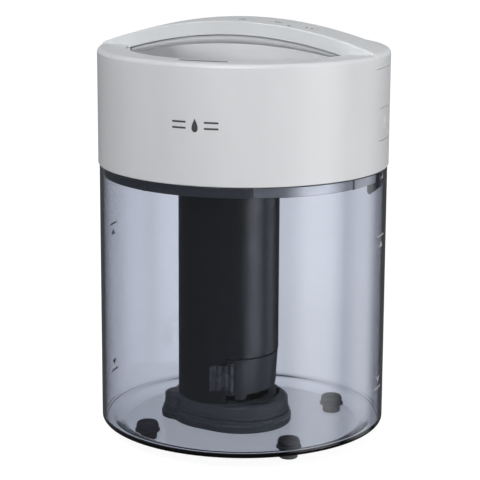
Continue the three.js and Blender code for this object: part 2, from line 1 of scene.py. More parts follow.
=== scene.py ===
"""The looks of a drop-in cool mist humidifier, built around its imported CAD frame.

Shapes are written in millimetres in the frame's own axes: +Z up, the front faces -Y, and an azimuth is in
degrees from the front towards +X. Every piece is put together in millimetres and scaled to metres once.
"""
import math

import bmesh
import bpy
from mathutils import Matrix, Vector


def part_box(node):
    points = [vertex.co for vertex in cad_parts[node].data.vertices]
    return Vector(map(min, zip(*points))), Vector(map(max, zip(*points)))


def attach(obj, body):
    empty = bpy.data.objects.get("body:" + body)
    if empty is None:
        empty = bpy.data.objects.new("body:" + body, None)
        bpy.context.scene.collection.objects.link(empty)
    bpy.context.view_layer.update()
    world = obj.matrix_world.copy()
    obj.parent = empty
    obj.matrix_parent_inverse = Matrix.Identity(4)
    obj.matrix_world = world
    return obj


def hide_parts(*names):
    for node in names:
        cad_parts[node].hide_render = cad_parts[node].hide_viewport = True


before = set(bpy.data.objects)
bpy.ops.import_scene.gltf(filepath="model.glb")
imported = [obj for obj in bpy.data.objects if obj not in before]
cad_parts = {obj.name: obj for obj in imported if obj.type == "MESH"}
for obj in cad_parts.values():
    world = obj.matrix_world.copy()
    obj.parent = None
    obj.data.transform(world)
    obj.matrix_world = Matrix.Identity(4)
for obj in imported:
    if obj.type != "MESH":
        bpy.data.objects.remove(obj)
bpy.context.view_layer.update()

MM = 0.001


def span(node):
    """The lowest and highest corner of a CAD node, in millimetres."""
    low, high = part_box(node)
    return low / MM, high / MM


# --- Driving dimensions, read from the frame ----------------------------------------------------------

HEAD_LOW, HEAD_HIGH = span("head_shell")
TANK_LOW, TANK_HIGH = span("tank")
CAP_LOW, CAP_HIGH = span("handle_cap")
GRIP_LOW, GRIP_HIGH = span("handle_grip")
PLATE_LOW, PLATE_HIGH = span("chassis_plate")
SLEEVE_LOW, SLEEVE_HIGH = span("column_sleeve")
TRAY_LOW, TRAY_HIGH = span("base_tray")
HOUSING_LOW, HOUSING_HIGH = span("base_housing")
TUBE_LOW, TUBE_HIGH = span("mist_tube")

HEAD_R = HEAD_HIGH.x
HEAD_BOTTOM = HEAD_LOW.z
HEAD_TOP = HEAD_HIGH.z
TANK_R = TANK_HIGH.x
TANK_TOP = TANK_HIGH.z
CREST_Z = CAP_HIGH.z
HANDLE_HALF = CAP_HIGH.y
COLUMN_X = (TUBE_LOW.x + TUBE_HIGH.x) / 2

RING = 224
HOOP = 96
FULL_TURN = 2 * math.pi


# --- Mesh building ------------------------------------------------------------------------------------

def polar(radius, azimuth):
    """The point at a radius and an azimuth in degrees."""
    turn = math.radians(azimuth)
    return radius * math.sin(turn), -radius * math.cos(turn)


def filleted(outline, closed=True, step=15.0):
    """An outline of (a, b) or (a, b, fillet radius) corners, with an arc at each corner that has a radius."""
    made = []
    count = len(outline)
    for i, corner in enumerate(outline):
        here = Vector(corner[:2])
        radius = corner[2] if len(corner) > 2 else 0.0
        if radius <= 0.0 or (not closed and i in (0, count - 1)):
            made.append((here.x, here.y))
            continue
        before = (Vector(outline[i - 1][:2]) - here).normalized()
        after = (Vector(outline[(i + 1) % count][:2]) - here).normalized()
        half = before.angle(after) / 2
        reach = radius / math.tan(half)
        middle = here + (before + after).normalized() * (radius / math.sin(half))
        first = here + before * reach - middle
        last = here + after * reach - middle
        bend = math.pi - 2 * half
        steps = max(2, math.ceil(math.degrees(bend) / step))
        for k in range(steps + 1):
            t = k / steps
            arm = (first * math.sin((1 - t) * bend) + last * math.sin(t * bend)) / math.sin(bend)
            made.append((middle.x + arm.x, middle.y + arm.y))
    return made


def piece_from(bm, name):
    """A new object in metres from a bmesh in millimetres."""
    bmesh.ops.remove_doubles(bm, verts=bm.verts, dist=1e-5)
    bmesh.ops.recalc_face_normals(bm, faces=bm.faces)
    mesh = bpy.data.meshes.new(name)
    bm.to_mesh(mesh)
    bm.free()
    mesh.transform(Matrix.Scale(MM, 4))
    made = bpy.data.objects.new(name, mesh)
    bpy.context.scene.collection.objects.link(made)
    return made


def skin(rings, name, closed=False):
    """A surface over a list of rings of points. A ring of one point is a tip."""
    bm = bmesh.new()
    rows = [[bm.verts.new(p) for p in ring] for ring in rings]
    pairs = list(zip(rows, rows[1:] + rows[:1])) if closed else list(zip(rows, rows[1:]))
    for low, high in pairs:
        count = max(len(low), len(high))
        for k in range(count if count > 1 else 0):
            j = (k + 1) % count
            corners = [low[k % len(low)], low[j % len(low)], high[j % len(high)], high[k % len(high)]]
            distinct = list(dict.fromkeys(corners))
            if len(distinct) > 2:
                bm.faces.new(distinct)
    if not closed:
        for row in (rows[0], rows[-1]):
            if len(row) > 2:
                bm.faces.new(row)
    return piece_from(bm, name)


def lathe(name, profile, centre=(0.0, 0.0), segments=RING):
    """A solid turned about an upright axis from a section of (radius, height[, fillet]) corners."""
    rings = []
    for radius, z in filleted(profile):
        if radius < 1e-6:
            rings.append([(centre[0], centre[1], z)])
            continue
        turns = [FULL_TURN * k / segments for k in range(segments)]
        rings.append([(centre[0] + radius * math.sin(t), centre[1] - radius * math.cos(t), z) for t in turns])
    return skin(rings, name, closed=True)


def rounded_rectangle(half, low, high, radius):
    """A rectangle from -half to half and from low to high with round corners."""
    return filleted([(-half, low, radius), (half, low, radius), (half, high, radius), (-half, high, radius)])


def wrapped(name, azimuth, outlines, r0, r1, edge=0.0, axis=(0.0, 0.0), step=3.0):
    """Plates bent round an upright axis between two radii. Outlines are (distance along the outside, height)."""
    bm = bmesh.new()
    outer = []
    for outline in outlines:
        low = [bm.verts.new((u, z, r0)) for u, z in outline]
        high = [bm.verts.new((u, z, r1)) for u, z in outline]
        bm.faces.new(low[::-1])
        outer.append(bm.faces.new(high))
        for i, _ in enumerate(outline):
            j = (i + 1) % len(outline)
            bm.faces.new((low[i], low[j], high[j], high[i]))
    if edge:
        edges = list({e for face in outer for e in face.edges})
        bmesh.ops.bevel(bm, geom=edges, offset=edge, segments=3, profile=0.5, affect="EDGES", clamp_overlap=True)
    left = min(v.co.x for v in bm.verts)
    right = max(v.co.x for v in bm.verts)
    cuts = int((right - left) / step)
    for k in range(1, cuts + 1):
        geom = bm.verts[:] + bm.edges[:] + bm.faces[:]
        place = (left + (right - left) * k / (cuts + 1), 0, 0)
        bmesh.ops.bisect_plane(bm, geom=geom, plane_co=place, plane_no=(1, 0, 0))
    for v in bm.verts:
        x, y = polar(v.co.z, azimuth + math.degrees(v.co.x / r1))
        v.co = (axis[0] + x, axis[1] + y, v.co.y)
    return piece_from(bm, name)


def box_between(name, x, y, z):
    """A plain block, used to cut other pieces."""
    bm = bmesh.new()
    bmesh.ops.create_cube(bm, size=1.0)
    for v in bm.verts:
        v.co = (x[v.co.x > 0], y[v.co.y > 0], z[v.co.z > 0])
    return piece_from(bm, name)


def rod(name, start, end, radius, segments=HOOP):
    """A round bar between two points."""
    a, b = Vector(start), Vector(end)
    along = (b - a).normalized()
    side = along.orthogonal().normalized()
    up = along.cross(side)
    turns = [FULL_TURN * k / segments for k in range(segments)]
    rings = [[p + (side * math.cos(t) + up * math.sin(t)) * radius for t in turns] for p in (a, b)]
    return skin(rings, name)


def settle(piece):
    """Makes the result of a piece's modifiers its own mesh."""
    graph = bpy.context.evaluated_depsgraph_get()
    mesh = bpy.data.meshes.new_from_object(piece.evaluated_get(graph))
    piece.modifiers.clear()
    piece.data = mesh


def combine(piece, others, operation):
    """Joins other solids to a piece, or cuts them out of it, and removes them."""
    for other in others:
        modifier = piece.modifiers.new("combine", "BOOLEAN")
        modifier.operation = operation
        modifier.solver = "EXACT"
        modifier.object = other
    settle(piece)
    for other in others:
        bpy.data.objects.remove(other)
    return piece


def carve(piece, *cutters):
    return combine(piece, cutters, "DIFFERENCE")


def weld(piece, *others):
    return combine(piece, others, "UNION")


def common(piece, other):
    return combine(piece, [other], "INTERSECT")


def merge(name, pieces):
    """Several separate solids as one object."""
    bm = bmesh.new()
    for piece in pieces:
        bm.from_mesh(piece.data)
        bpy.data.objects.remove(piece)
    mesh = bpy.data.meshes.new(name)
    bm.to_mesh(mesh)
    bm.free()
    made = bpy.data.objects.new(name, mesh)
    bpy.context.scene.collection.objects.link(made)
    return made


def soften(piece, angle=38.0):
    """Smooth shading that stays crisp at corners and flat on large faces."""
    mesh = piece.data
    mesh.polygons.foreach_set("use_smooth", [True] * len(mesh.polygons))
    mesh.set_sharp_from_angle(angle=math.radians(angle))
    modifier = piece.modifiers.new("weighted normals", "WEIGHTED_NORMAL")
    modifier.keep_sharp = True


def dress(piece, material, body, slot, *nodes):
    """Gives a piece its material and body, and hides the CAD nodes it stands for. The slot argument is not used."""
    piece.data.materials.clear()
    piece.data.materials.append(material)
    soften(piece)
    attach(piece, body)
    if nodes:
        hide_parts(*nodes)
    return piece


# --- Materials ----------------------------------------------------------------------------------------

class Surface:
    """A node material with one Principled shader, and the object's own coordinates in metres."""

    def __init__(self, name):
        self.material = bpy.data.materials.new(name)
        self.material.use_nodes = True
        self.nodes = self.material.node_tree.nodes
        self.links = self.material.node_tree.links
        self.shader = self.nodes["Principled BSDF"]
        self.output = self.nodes["Material Output"]
        self.place = self.nodes.new("ShaderNodeTexCoord").outputs["Object"]

    def set(self, **values):
        for socket, value in values.items():
            self.shader.inputs[socket.replace("_", " ")].default_value = value

    def stretched(self, factors):
        """The coordinates scaled differently along each axis."""
        node = self.nodes.new("ShaderNodeMapping")
        node.inputs["Scale"].default_value = factors
        self.links.new(self.place, node.inputs["Vector"])
        return node.outputs["Vector"]

    def noise(self, size_mm, detail=2.0, vector=None, roughness=0.5):
        """Noise whose features are about size_mm across."""
        node = self.nodes.new("ShaderNodeTexNoise")
        node.inputs["Scale"].default_value = 1.0 / (size_mm * MM)
        node.inputs["Detail"].default_value = detail
        node.inputs["Roughness"].default_value = roughness
        self.links.new(vector or self.place, node.inputs["Vector"])
        return node.outputs["Fac"]

    def cells(self, size_mm, feature="F1"):
        node = self.nodes.new("ShaderNodeTexVoronoi")
        node.feature = feature
        node.inputs["Scale"].default_value = 1.0 / (size_mm * MM)
        self.links.new(self.place, node.inputs["Vector"])
        return node.outputs["Distance"]

    def between(self, value, low, high, start=0.3, end=0.7):
        """A value mapped from start..end to low..high."""
        node = self.nodes.new("ShaderNodeMapRange")
        node.inputs["From Min"].default_value = start
        node.inputs["From Max"].default_value = end
        node.inputs["To Min"].default_value = low
        node.inputs["To Max"].default_value = high
        self.links.new(value, node.inputs["Value"])
        return node.outputs["Result"]

    def blend(self, factor, first, second):
        """A colour between two colours."""
        node = self.nodes.new("ShaderNodeMix")
        node.data_type = "RGBA"
        node.inputs["A"].default_value = (*first, 1.0)
        node.inputs["B"].default_value = (*second, 1.0)
        self.links.new(factor, node.inputs["Factor"])
        return node.outputs["Result"]

    def feed(self, value, socket):
        self.links.new(value, self.shader.inputs[socket])

    def bump(self, height, depth_mm, strength=1.0):
        node = self.nodes.new("ShaderNodeBump")
        node.inputs["Strength"].default_value = strength
        node.inputs["Distance"].default_value = depth_mm * MM
        self.links.new(height, node.inputs["Height"])
        self.links.new(node.outputs["Normal"], self.shader.inputs["Normal"])


def shade(colour, factor):
    return tuple(min(1.0, c * factor) for c in colour)


def moulded(name, colour, roughness, grain_mm=0.6, depth_mm=0.012, spread=0.03, **values):
    """Moulded plastic: fine spark texture, faint flow marks in its gloss and a trace of colour variation."""
    surface = Surface(name)
    surface.set(**values)
    flow = surface.noise(38.0, detail=3.0, vector=surface.stretched((1.0, 1.0, 0.35)))
    surface.feed(surface.blend(surface.between(flow, 0.0, 1.0), shade(colour, 1 - spread), shade(colour, 1 + spread)),
                 "Base Color")
    cloud = surface.noise(9.0, detail=4.0)
    surface.feed(surface.between(cloud, roughness * 0.86, roughness * 1.14), "Roughness")
    surface.bump(surface.noise(grain_mm, detail=1.0), depth_mm)
    return surface.material


def smoky_clear():
    """Clear polycarbonate with a blue-grey dye all through it."""
    surface = Surface("smoky_clear")
    surface.set(Base_Color=(1.0, 1.0, 1.0, 1.0), Transmission_Weight=1.0, IOR=1.49)
    surface.feed(surface.between(surface.noise(60.0, detail=2.0), 0.0, 0.035), "Roughness")
    dye = surface.nodes.new("ShaderNodeVolumeAbsorption")
    dye.inputs["Color"].default_value = (0.518, 0.564, 0.667, 1.0)
    dye.inputs["Density"].default_value = 275.0
    surface.links.new(dye.outputs["Volume"], surface.output.inputs["Volume"])
    return surface.material


def rubber():
    surface = Surface("foot_rubber")
    surface.set(IOR=1.5)
    dust = surface.noise(3.0, detail=5.0)
    surface.feed(surface.blend(surface.between(dust, 0.0, 1.0), (0.085, 0.086, 0.092), (0.135, 0.136, 0.145)),
                 "Base Color")
    surface.feed(surface.between(dust, 0.5, 0.75), "Roughness")
    surface.bump(surface.noise(0.35, detail=3.0), 0.03)
    return surface.material


def plated_steel():
    surface = Surface("plated_steel")
    surface.set(Metallic=1.0)
    streaks = surface.noise(0.5, detail=3.0, vector=surface.stretched((1.0, 1.0, 0.08)))
    surface.feed(surface.blend(surface.between(streaks, 0.0, 1.0), (0.50, 0.51, 0.53), (0.68, 0.68, 0.69)),
                 "Base Color")
    surface.feed(surface.between(streaks, 0.24, 0.42), "Roughness")
    surface.bump(streaks, 0.006)
    return surface.material


def circuit_board():
    """Green solder mask over copper tracks, with the glass weave just showing."""
    surface = Surface("circuit_board")
    tracks = surface.nodes.new("ShaderNodeTexBrick")
    tracks.inputs["Scale"].default_value = 260.0
    tracks.inputs["Mortar Size"].default_value = 0.06
    tracks.inputs["Color1"].default_value = (0.012, 0.13, 0.055, 1.0)
    tracks.inputs["Color2"].default_value = (0.016, 0.17, 0.070, 1.0)
    tracks.inputs["Mortar"].default_value = (0.045, 0.30, 0.12, 1.0)
    surface.links.new(surface.place, tracks.inputs["Vector"])
    surface.feed(tracks.outputs["Color"], "Base Color")
    surface.feed(surface.between(surface.noise(1.2), 0.3, 0.5), "Roughness")
    surface.bump(tracks.outputs["Fac"], 0.03)
    return surface.material


def silicone():
    surface = Surface("silicone")
    surface.set(Subsurface_Weight=0.3, Subsurface_Scale=0.002, Subsurface_Radius=(1.0, 0.9, 0.8))
    haze = surface.noise(4.0, detail=4.0)
    surface.feed(surface.blend(surface.between(haze, 0.0, 1.0), (0.60, 0.58, 0.54), (0.72, 0.70, 0.66)),
                 "Base Color")
    surface.feed(surface.between(haze, 0.42, 0.6), "Roughness")
    surface.bump(surface.noise(0.4), 0.015)
    return surface.material


def filter_foam():
    surface = Surface("filter_foam")
    pores = surface.cells(0.9)
    # Painted shade: the colour darkens towards the middle of each pore, where the bump dips, as shade in the pore
    # hollows.
    surface.feed(surface.blend(surface.between(pores, 0.0, 1.0, 0.0, 0.8), (0.012, 0.013, 0.014), (0.11, 0.115, 0.12)),
                 "Base Color")
    surface.set(Roughness=0.95)
    surface.bump(pores, 0.5)
    return surface.material


def aluminium():
    surface = Surface("extruded_aluminium")
    surface.set(Metallic=1.0)
    lines = surface.noise(0.4, detail=2.0, vector=surface.stretched((0.06, 1.0, 1.0)))
    surface.feed(surface.blend(surface.between(lines, 0.0, 1.0), (0.62, 0.63, 0.65), (0.78, 0.79, 0.80)),
                 "Base Color")
    surface.feed(surface.between(lines, 0.28, 0.45), "Roughness")
    surface.bump(lines, 0.01)
    return surface.material


def indicator():
    surface = Surface("light_pipe")
    surface.set(Transmission_Weight=0.35, IOR=1.49)
    haze = surface.noise(0.8, detail=3.0)
    surface.feed(surface.blend(surface.between(haze, 0.0, 1.0), (0.10, 0.30, 0.22), (0.16, 0.42, 0.31)), "Base Color")
    surface.feed(surface.between(haze, 0.15, 0.3), "Roughness")
    return surface.material


def ink(name, colour):
    """Pad-printed ink, slightly uneven in density."""
    surface = Surface(name)
    wear = surface.noise(0.7, detail=4.0)
    surface.feed(surface.blend(surface.between(wear, 0.0, 1.0), shade(colour, 0.9), shade(colour, 1.1)), "Base Color")
    surface.feed(surface.between(wear, 0.4, 0.55), "Roughness")
    return surface.material


WHITE = moulded("white_abs", (0.745, 0.752, 0.768), 0.34)
CAP_WHITE = moulded("cap_abs", (0.755, 0.772, 0.782), 0.34)
CHARCOAL = moulded("charcoal_pp", (0.029, 0.0305, 0.036), 0.32, spread=0.1, IOR=1.8)
# Painted light: a lighter copy of the charcoal for the base, standing in for light from above that the head keeps off
# it.
BASE_PAINTED_LIGHT_GREY = moulded("base_pp_painted_light", (0.155, 0.162, 0.180), 0.36, spread=0.08, IOR=1.6)
# Painted light: a lighter copy of the charcoal for the door, which lies in the key light's highlight on the column.
DOOR_PAINTED_LIGHT_GREY = moulded("door_pp_painted_light", (0.075, 0.079, 0.090), 0.34, spread=0.08, IOR=1.7)
# Painted highlight: a lighter copy of the charcoal for the clip, so its ribs read as lit.
CLIP_PAINTED_LIGHT_GREY = moulded("clip_pp_painted_highlight", (0.15, 0.155, 0.172), 0.28, spread=0.05, IOR=1.7)
# Painted highlight: a light copy of the ring's colour for the lit front right of the ring.
RING_PAINTED_HIGHLIGHT = moulded("ring_painted_highlight", (0.70, 0.71, 0.74), 0.42, Metallic=0.85)
SATIN_RING = moulded("satin_ring", (0.20, 0.205, 0.225), 0.34, spread=0.06, Metallic=0.35)
SMOKE = smoky_clear()
RUBBER = rubber()
STEEL = plated_steel()
BOARD = circuit_board()
SILICONE = silicone()
FOAM = filter_foam()
FINS = aluminium()
LIGHT_PIPE = indicator()
MARK_INK = ink("mark_ink", (0.42, 0.43, 0.45))
# Painted shade: the near-black for the sheet in the finger slot, made with the ink function.
PAINTED_SHADE_BLACK = ink("painted_shade_black", (0.018, 0.018, 0.020))
DARK_INK = ink("dark_ink", (0.055, 0.057, 0.062))
ICON_INK = ink("icon_ink", (0.24, 0.26, 0.28))


# --- Tank and feet ------------------------------------------------------------------------------------

TANK_WALL = 2.5
PAN_Z = TANK_LOW.z
FLOOR_Z = PAN_Z + 2.5
RIM_RING_Z = PAN_Z + 5.8
PAN_R = 89.2
LUG_DEPTH = 1.5
LUG_AZIMUTHS = (90, 270)
FEET = [f"foot_{i}" for i in range(1, 5)]


def foot_centre(node):
    low, high = span(node)
    return (low.x + high.x) / 2, (low.y + high.y) / 2


def tank_cup():
    """A cup with a shallow pan in its floor, a raised ring round the pan and a lug for the latch at each side."""
    inner = TANK_R - TANK_WALL
    cup = lathe("tank_cup", [
        (0, PAN_Z), (PAN_R, PAN_Z, 9), (PAN_R + 8, RIM_RING_Z, 9),
        (TANK_R, RIM_RING_Z, 2.6), (TANK_R, TANK_TOP, 0.7), (inner, TANK_TOP, 0.7),
        (inner, RIM_RING_Z + 2.5, 2.2), (PAN_R + 7, RIM_RING_Z + 2.5, 9), (PAN_R - 1.5, FLOOR_Z, 9), (0, FLOOR_Z),
    ])
    lugs = [wrapped("lug", azimuth, [rounded_rectangle(12.5, TANK_TOP - 10, TANK_TOP - 7.5, 0.8)],
                    inner - LUG_DEPTH, inner + 1) for azimuth in LUG_AZIMUTHS]
    holes = [rod("hole", (*foot_centre(node), 0), (*foot_centre(node), 20), 5.5, 64) for node in FEET]
    weld(cup, *lugs)
    carve(cup, *holes)
    return dress(cup, SMOKE, "tank", "tank_smoke", "tank")


def foot_plug(index, node):
    """A rubber plug: a pad below the floor, a neck in its hole, and a flange with a domed knob above."""
    top = FLOOR_Z + 7.8
    plug = lathe(f"foot_plug_{index}", [
        (0, 0.5), (2.6, 0.5, 0.4), (3.2, 0, 0.3), (6.9, 0, 0.9), (6.9, PAN_Z - 0.3, 0.3), (5.2, PAN_Z - 0.3),
        (5.2, FLOOR_Z + 0.3), (9.2, FLOOR_Z + 0.3, 0.5), (9.2, FLOOR_Z + 2.2, 0.8), (7.9, FLOOR_Z + 2.5, 0.3),
        (7.9, FLOOR_Z + 3.9, 0.3), (8.25, FLOOR_Z + 4.2, 0.2), (8.25, FLOOR_Z + 5.1, 0.2),
        (7.9, FLOOR_Z + 5.4, 0.2), (7.8, top - 0.3, 1.7), (0, top),
    ], foot_centre(node), HOOP)
    return dress(plug, RUBBER, "tank", "rubber_feet", node)


# A level mark is a line with a triangle that points at it, printed on the outside of the wall.
MARK_LEVELS = (
    {"line": 159.0, "tip": 154.9, "base": 150.4},
    {"line": 42.4, "tip": 46.7, "base": 51.0},
)
MARK_PLACES = (("right", 90, 0.0), ("left", 273.5, 6.0))
MARK_HALF = 7.4
MARK_THICK = 1.3
ARROW = {"half": 1.6, "tip": 205.2, "base": 201.5}


def level_marks(side, azimuth, drop):
    """The printed marks for the highest and lowest water level, and the arrow that lines the head up."""
    outlines = []
    for mark in MARK_LEVELS:
        low, high = mark["line"] - drop - MARK_THICK / 2, mark["line"] - drop + MARK_THICK / 2
        outlines.append(rounded_rectangle(MARK_HALF, low, high, 0.5))
        outlines.append([(-4.4, mark["base"] - drop), (4.4, mark["base"] - drop), (0, mark["tip"] - drop)])
    outlines.append([(-ARROW["half"], ARROW["base"]), (ARROW["half"], ARROW["base"]), (0, ARROW["tip"])])
    marks = wrapped(f"level_marks_{side}", azimuth, outlines, TANK_R + 0.01, TANK_R + 0.09, step=2.0)
    return dress(marks, MARK_INK, "tank", "charcoal")


# --- Head housing -------------------------------------------------------------------------------------

HEAD_WALL = 2.5
HOUSING_R = HEAD_R - 0.06
BOWL_R = 86.7
BOWL_FLOOR_Z = 250.0
RIM_FILLET = 3.4
SLOT_R = (91.4, 96.4)
BOSS_R = 96.5
BOSS_AZIMUTHS = (35, 145, 215, 325)
VENT_AZIMUTHS = range(190, 211, 4)
VENT_Z = (224.0, 243.0)
INLET_Z = 222.0
WRAP_HALF = 18.4
WRAP_Z = 283.0
BUTTON_HALF = 16.4
BUTTON_Z = (230.4, 253.8)
BUTTON_CORNER = 6.0
GAP = 0.3


def button_outline(grow):
    """The outline of a release button, grown by some distance, laid out along the outside of the head."""
    return rounded_rectangle(BUTTON_HALF + grow, BUTTON_Z[0] - grow, BUTTON_Z[1] + grow, BUTTON_CORNER + grow)


def screw_boss(azimuth):
    """A hollow post inside the head with a web to the wall."""
    x, y = polar(BOSS_R, azimuth)
    post = rod("boss", (x, y, PLATE_HIGH.z + GAP), (x, y, 230), 4.0, 32)
    web = wrapped("web", azimuth, [[(-1.6, PLATE_HIGH.z + GAP), (1.6, PLATE_HIGH.z + GAP), (1.6, 226), (-1.6, 226)]],
                  BOSS_R, HEAD_R - HEAD_WALL + 0.5)
    weld(post, web)
    return carve(post, rod("bore", (x, y, 205), (x, y, 222), 1.8, 24))


def head_housing():
    inner = HEAD_R - HEAD_WALL
    housing = lathe("head_housing", [
        (inner, HEAD_BOTTOM, 0.5), (HOUSING_R, HEAD_BOTTOM, 0.8), (HOUSING_R, HEAD_TOP, RIM_FILLET),
        (BOWL_R, HEAD_TOP, 1.1), (BOWL_R, HEAD_TOP - 2.6, 0.5), (inner, HEAD_TOP - 2.8, 2.2),
    ])
    weld(housing, *[screw_boss(azimuth) for azimuth in BOSS_AZIMUTHS])
    windows = [wrapped("window", azimuth, [button_outline(0.45)], HEAD_R - 8, HEAD_R + 4)
               for azimuth in LUG_AZIMUTHS]
    half = WRAP_HALF + GAP
    notches = []
    for x in ((HEAD_R - 18, HEAD_R + 2), (-HEAD_R - 2, 18 - HEAD_R)):
        notch = box_between("notch", x, (-half, half), (WRAP_Z - GAP, HEAD_TOP + 2))
        notches.append(carve(notch, rod("core", (0, 0, 200), (0, 0, 310), HEAD_R - 5)))
    finger_slot = wrapped("finger_slot", 1.5, [rounded_rectangle(18.4, HEAD_TOP - 4, HEAD_TOP + 1, 0.4)], *SLOT_R)
    release_slot = wrapped("release_slot", 90.8, [rounded_rectangle(0.6, 211.0, 213.9, 0.55)], HEAD_R - 1.4, HEAD_R + 2)
    vents = [wrapped("vent", azimuth, [rounded_rectangle(1.5, *VENT_Z, 1.45)], HEAD_R - 8, HEAD_R + 4)
             for azimuth in VENT_AZIMUTHS]
    socket_hole = rod("socket_hole", (0, HEAD_R - 12, INLET_Z), (0, HEAD_R + 5, INLET_Z), 5.6, 64)
    carve(housing, *windows, *notches, finger_slot, release_slot, *vents, socket_hole)
    return dress(housing, WHITE, "head", "housing_white", "head_shell")


def finger_slot_shade_sheet():
    """Painted shade: a matte black sheet inside the slot in the rim, just below its edges, standing in for the shade in
    the opening.
    """
    shade_sheet = wrapped("finger_slot_shade_sheet", 1.5, [rounded_rectangle(18.3, HEAD_TOP - 2.7, HEAD_TOP - 0.08, 0.3)],
                    SLOT_R[0] + 0.1, SLOT_R[1] - 0.1)
    return dress(shade_sheet, PAINTED_SHADE_BLACK, "head", "charcoal")


def bowl():
    """The dish in the top of the head, hung under the housing's lip."""
    lip = HEAD_TOP - 2.9
    floor = BOWL_FLOOR_Z
    dish = lathe("bowl", [
        (0, floor - 2), (60, floor - 2, 6), (73, floor + 3.5, 9), (81.5, floor + 15, 12), (84.8, floor + 28, 12),
        (85.6, lip - 1.6), (89.2, lip - 1.6, 0.4), (89.2, lip, 0.4), (84.4, lip, 0.5),
        (82.6, floor + 28, 12), (79.6, floor + 16.4, 12), (71.7, floor + 5.4, 9), (59.6, floor, 6), (0, floor),
    ])
    hole = rod("hole", (COLUMN_X, 0, 240), (COLUMN_X, 0, 260), 20)
    return dress(carve(dish, hole), WHITE, "head", "housing_white", "top_bowl")


# --- Handle -------------------------------------------------------------------------------------------

ARCH_RISE = 20.4
SEAM_Z = 303.2
SEAM_RISE = 20.8
GRIP_Z_MIDDLE = 295.6
GRIP_RISE = 15.6
ARCH_STATIONS = 90
STRIP_HALF = 18.2
STRIP_THICK = 2.0
STRIP_CORNER = 5.0
KEY_R = 6.4
KEYS = ("light_key", "power_key", "mist_key")


def crest(x):
    return CREST_Z - ARCH_RISE * (x / HEAD_R) ** 2


def seam(x):
    return SEAM_Z - SEAM_RISE * (x / HEAD_R) ** 2


def grip_line(x):
    return GRIP_Z_MIDDLE - GRIP_RISE * (x / HEAD_R) ** 2


def arched(name, reach, section):
    """A bar along X whose ends follow an upright cylinder of radius reach. section(x) gives its (y, z) corners."""
    rings = []
    for k in range(ARCH_STATIONS + 1):
        t = 2 * k / ARCH_STATIONS - 1
        flat = filleted(section(t * reach))
        rings.append([(t * math.sqrt(reach ** 2 - y ** 2), y, z) for y, z in flat])
    return skin(rings, name)


def key_centre(node):
    low, high = span(node)
    return (low.x + high.x) / 2, (low.y + high.y) / 2


def key_wells(radius):
    return [rod("well", (*key_centre(node), 300), (*key_centre(node), 320), radius, 64) for node in KEYS]


def handle_arch():
    """The body of the handle, with a shallow bed in its top for the strip."""
    lip = STRIP_HALF + 0.3

    def section(x):
        top = crest(x)
        bed = top - STRIP_THICK - 0.1
        return [(-HANDLE_HALF, seam(x), 0.5), (HANDLE_HALF, seam(x), 0.5), (HANDLE_HALF, top, 0.9),
                (lip, top), (lip, bed), (-lip, bed), (-lip, top), (-HANDLE_HALF, top, 0.9)]

    arch = arched("handle_arch", HEAD_R - 2.7, section)
    rooted = HEAD_TOP - 2.4
    under_rim = lathe("under_rim", [(BOWL_R + 0.2, 260), (130, 260), (130, rooted), (BOWL_R + 0.2, rooted)])
    carve(arch, under_rim, *key_wells(KEY_R + 0.7))
    return dress(arch, CAP_WHITE, "head", "cap_white", "handle_cap")


def strip_path(y):
    """The line of the strip's top in XZ at a distance y from its middle: up a side, over the crest and down."""
    side = math.sqrt((HEAD_R - 0.15) ** 2 - y ** 2)
    run = side - 8.0
    steps = 56
    corners = [(side, WRAP_Z), (side, WRAP_Z + 3), (side, crest(side), STRIP_CORNER)]
    over = [run * (1 - 2 * k / steps) for k in range(steps + 1)]
    corners += [(x, crest(x)) for x in over]
    corners += [(-x, *rest) for x, *rest in corners[2::-1]]
    return filleted(corners, closed=False)


def handle_strip():
    """The cool white strip on top of the handle, whose ends wrap down over the sides of the head."""
    edge = 0.5
    across = [STRIP_HALF * (1 - k / 8) for k in range(17)]
    corner = [(STRIP_HALF - edge * (1 - math.sin(math.radians(a))), edge * (1 - math.cos(math.radians(a))))
              for a in (90, 67.5, 45, 22.5, 0)]
    top = [(y, 0.0) for y in across[1:-1]]
    loop = [(STRIP_HALF, STRIP_THICK)] + corner + top + [(-y, w) for y, w in corner[::-1]]
    loop += [(-STRIP_HALF, STRIP_THICK)] + [(-y, STRIP_THICK) for y in across[1:-1]]
    lines = []
    for y, w in loop:
        path = strip_path(y)
        line = []
        for i, (x, z) in enumerate(path):
            before = path[max(i - 1, 0)]
            after = path[min(i + 1, len(path) - 1)]
            along = (Vector(after) - Vector(before)).normalized()
            line.append((x - w * along.y, y, z + w * along.x))
        lines.append(line)
    rings = [list(ring) for ring in zip(*lines)]
    strip = skin(rings, "handle_strip")
    low, high = span("indicator_lens")
    centre = ((low.x + high.x) / 2, (low.y + high.y) / 2)
    carve(strip, *key_wells(KEY_R + 0.35), rod("lens_hole", (*centre, 300), (*centre, 320), 1.9, 48))
    return dress(strip, CAP_WHITE, "head", "cap_white")


def handle_underside():
    """The rounded bar under the handle, which the fingers close on."""
    width = GRIP_HIGH.y - 0.1
    depth_steps = 14

    def section(x):
        top = seam(x) - 0.4
        bottom = grip_line(x)
        arc = []
        for k in range(depth_steps + 1):
            turn = math.pi * k / depth_steps
            side = math.copysign(abs(math.cos(turn)) ** 0.45, math.cos(turn))
            arc.append((width * side, top - (top - bottom) * abs(math.sin(turn)) ** 0.75))
        return arc

    bar = arched("handle_underside", 84.0, section)
    return dress(bar, WHITE, "head", "housing_white", "handle_grip")


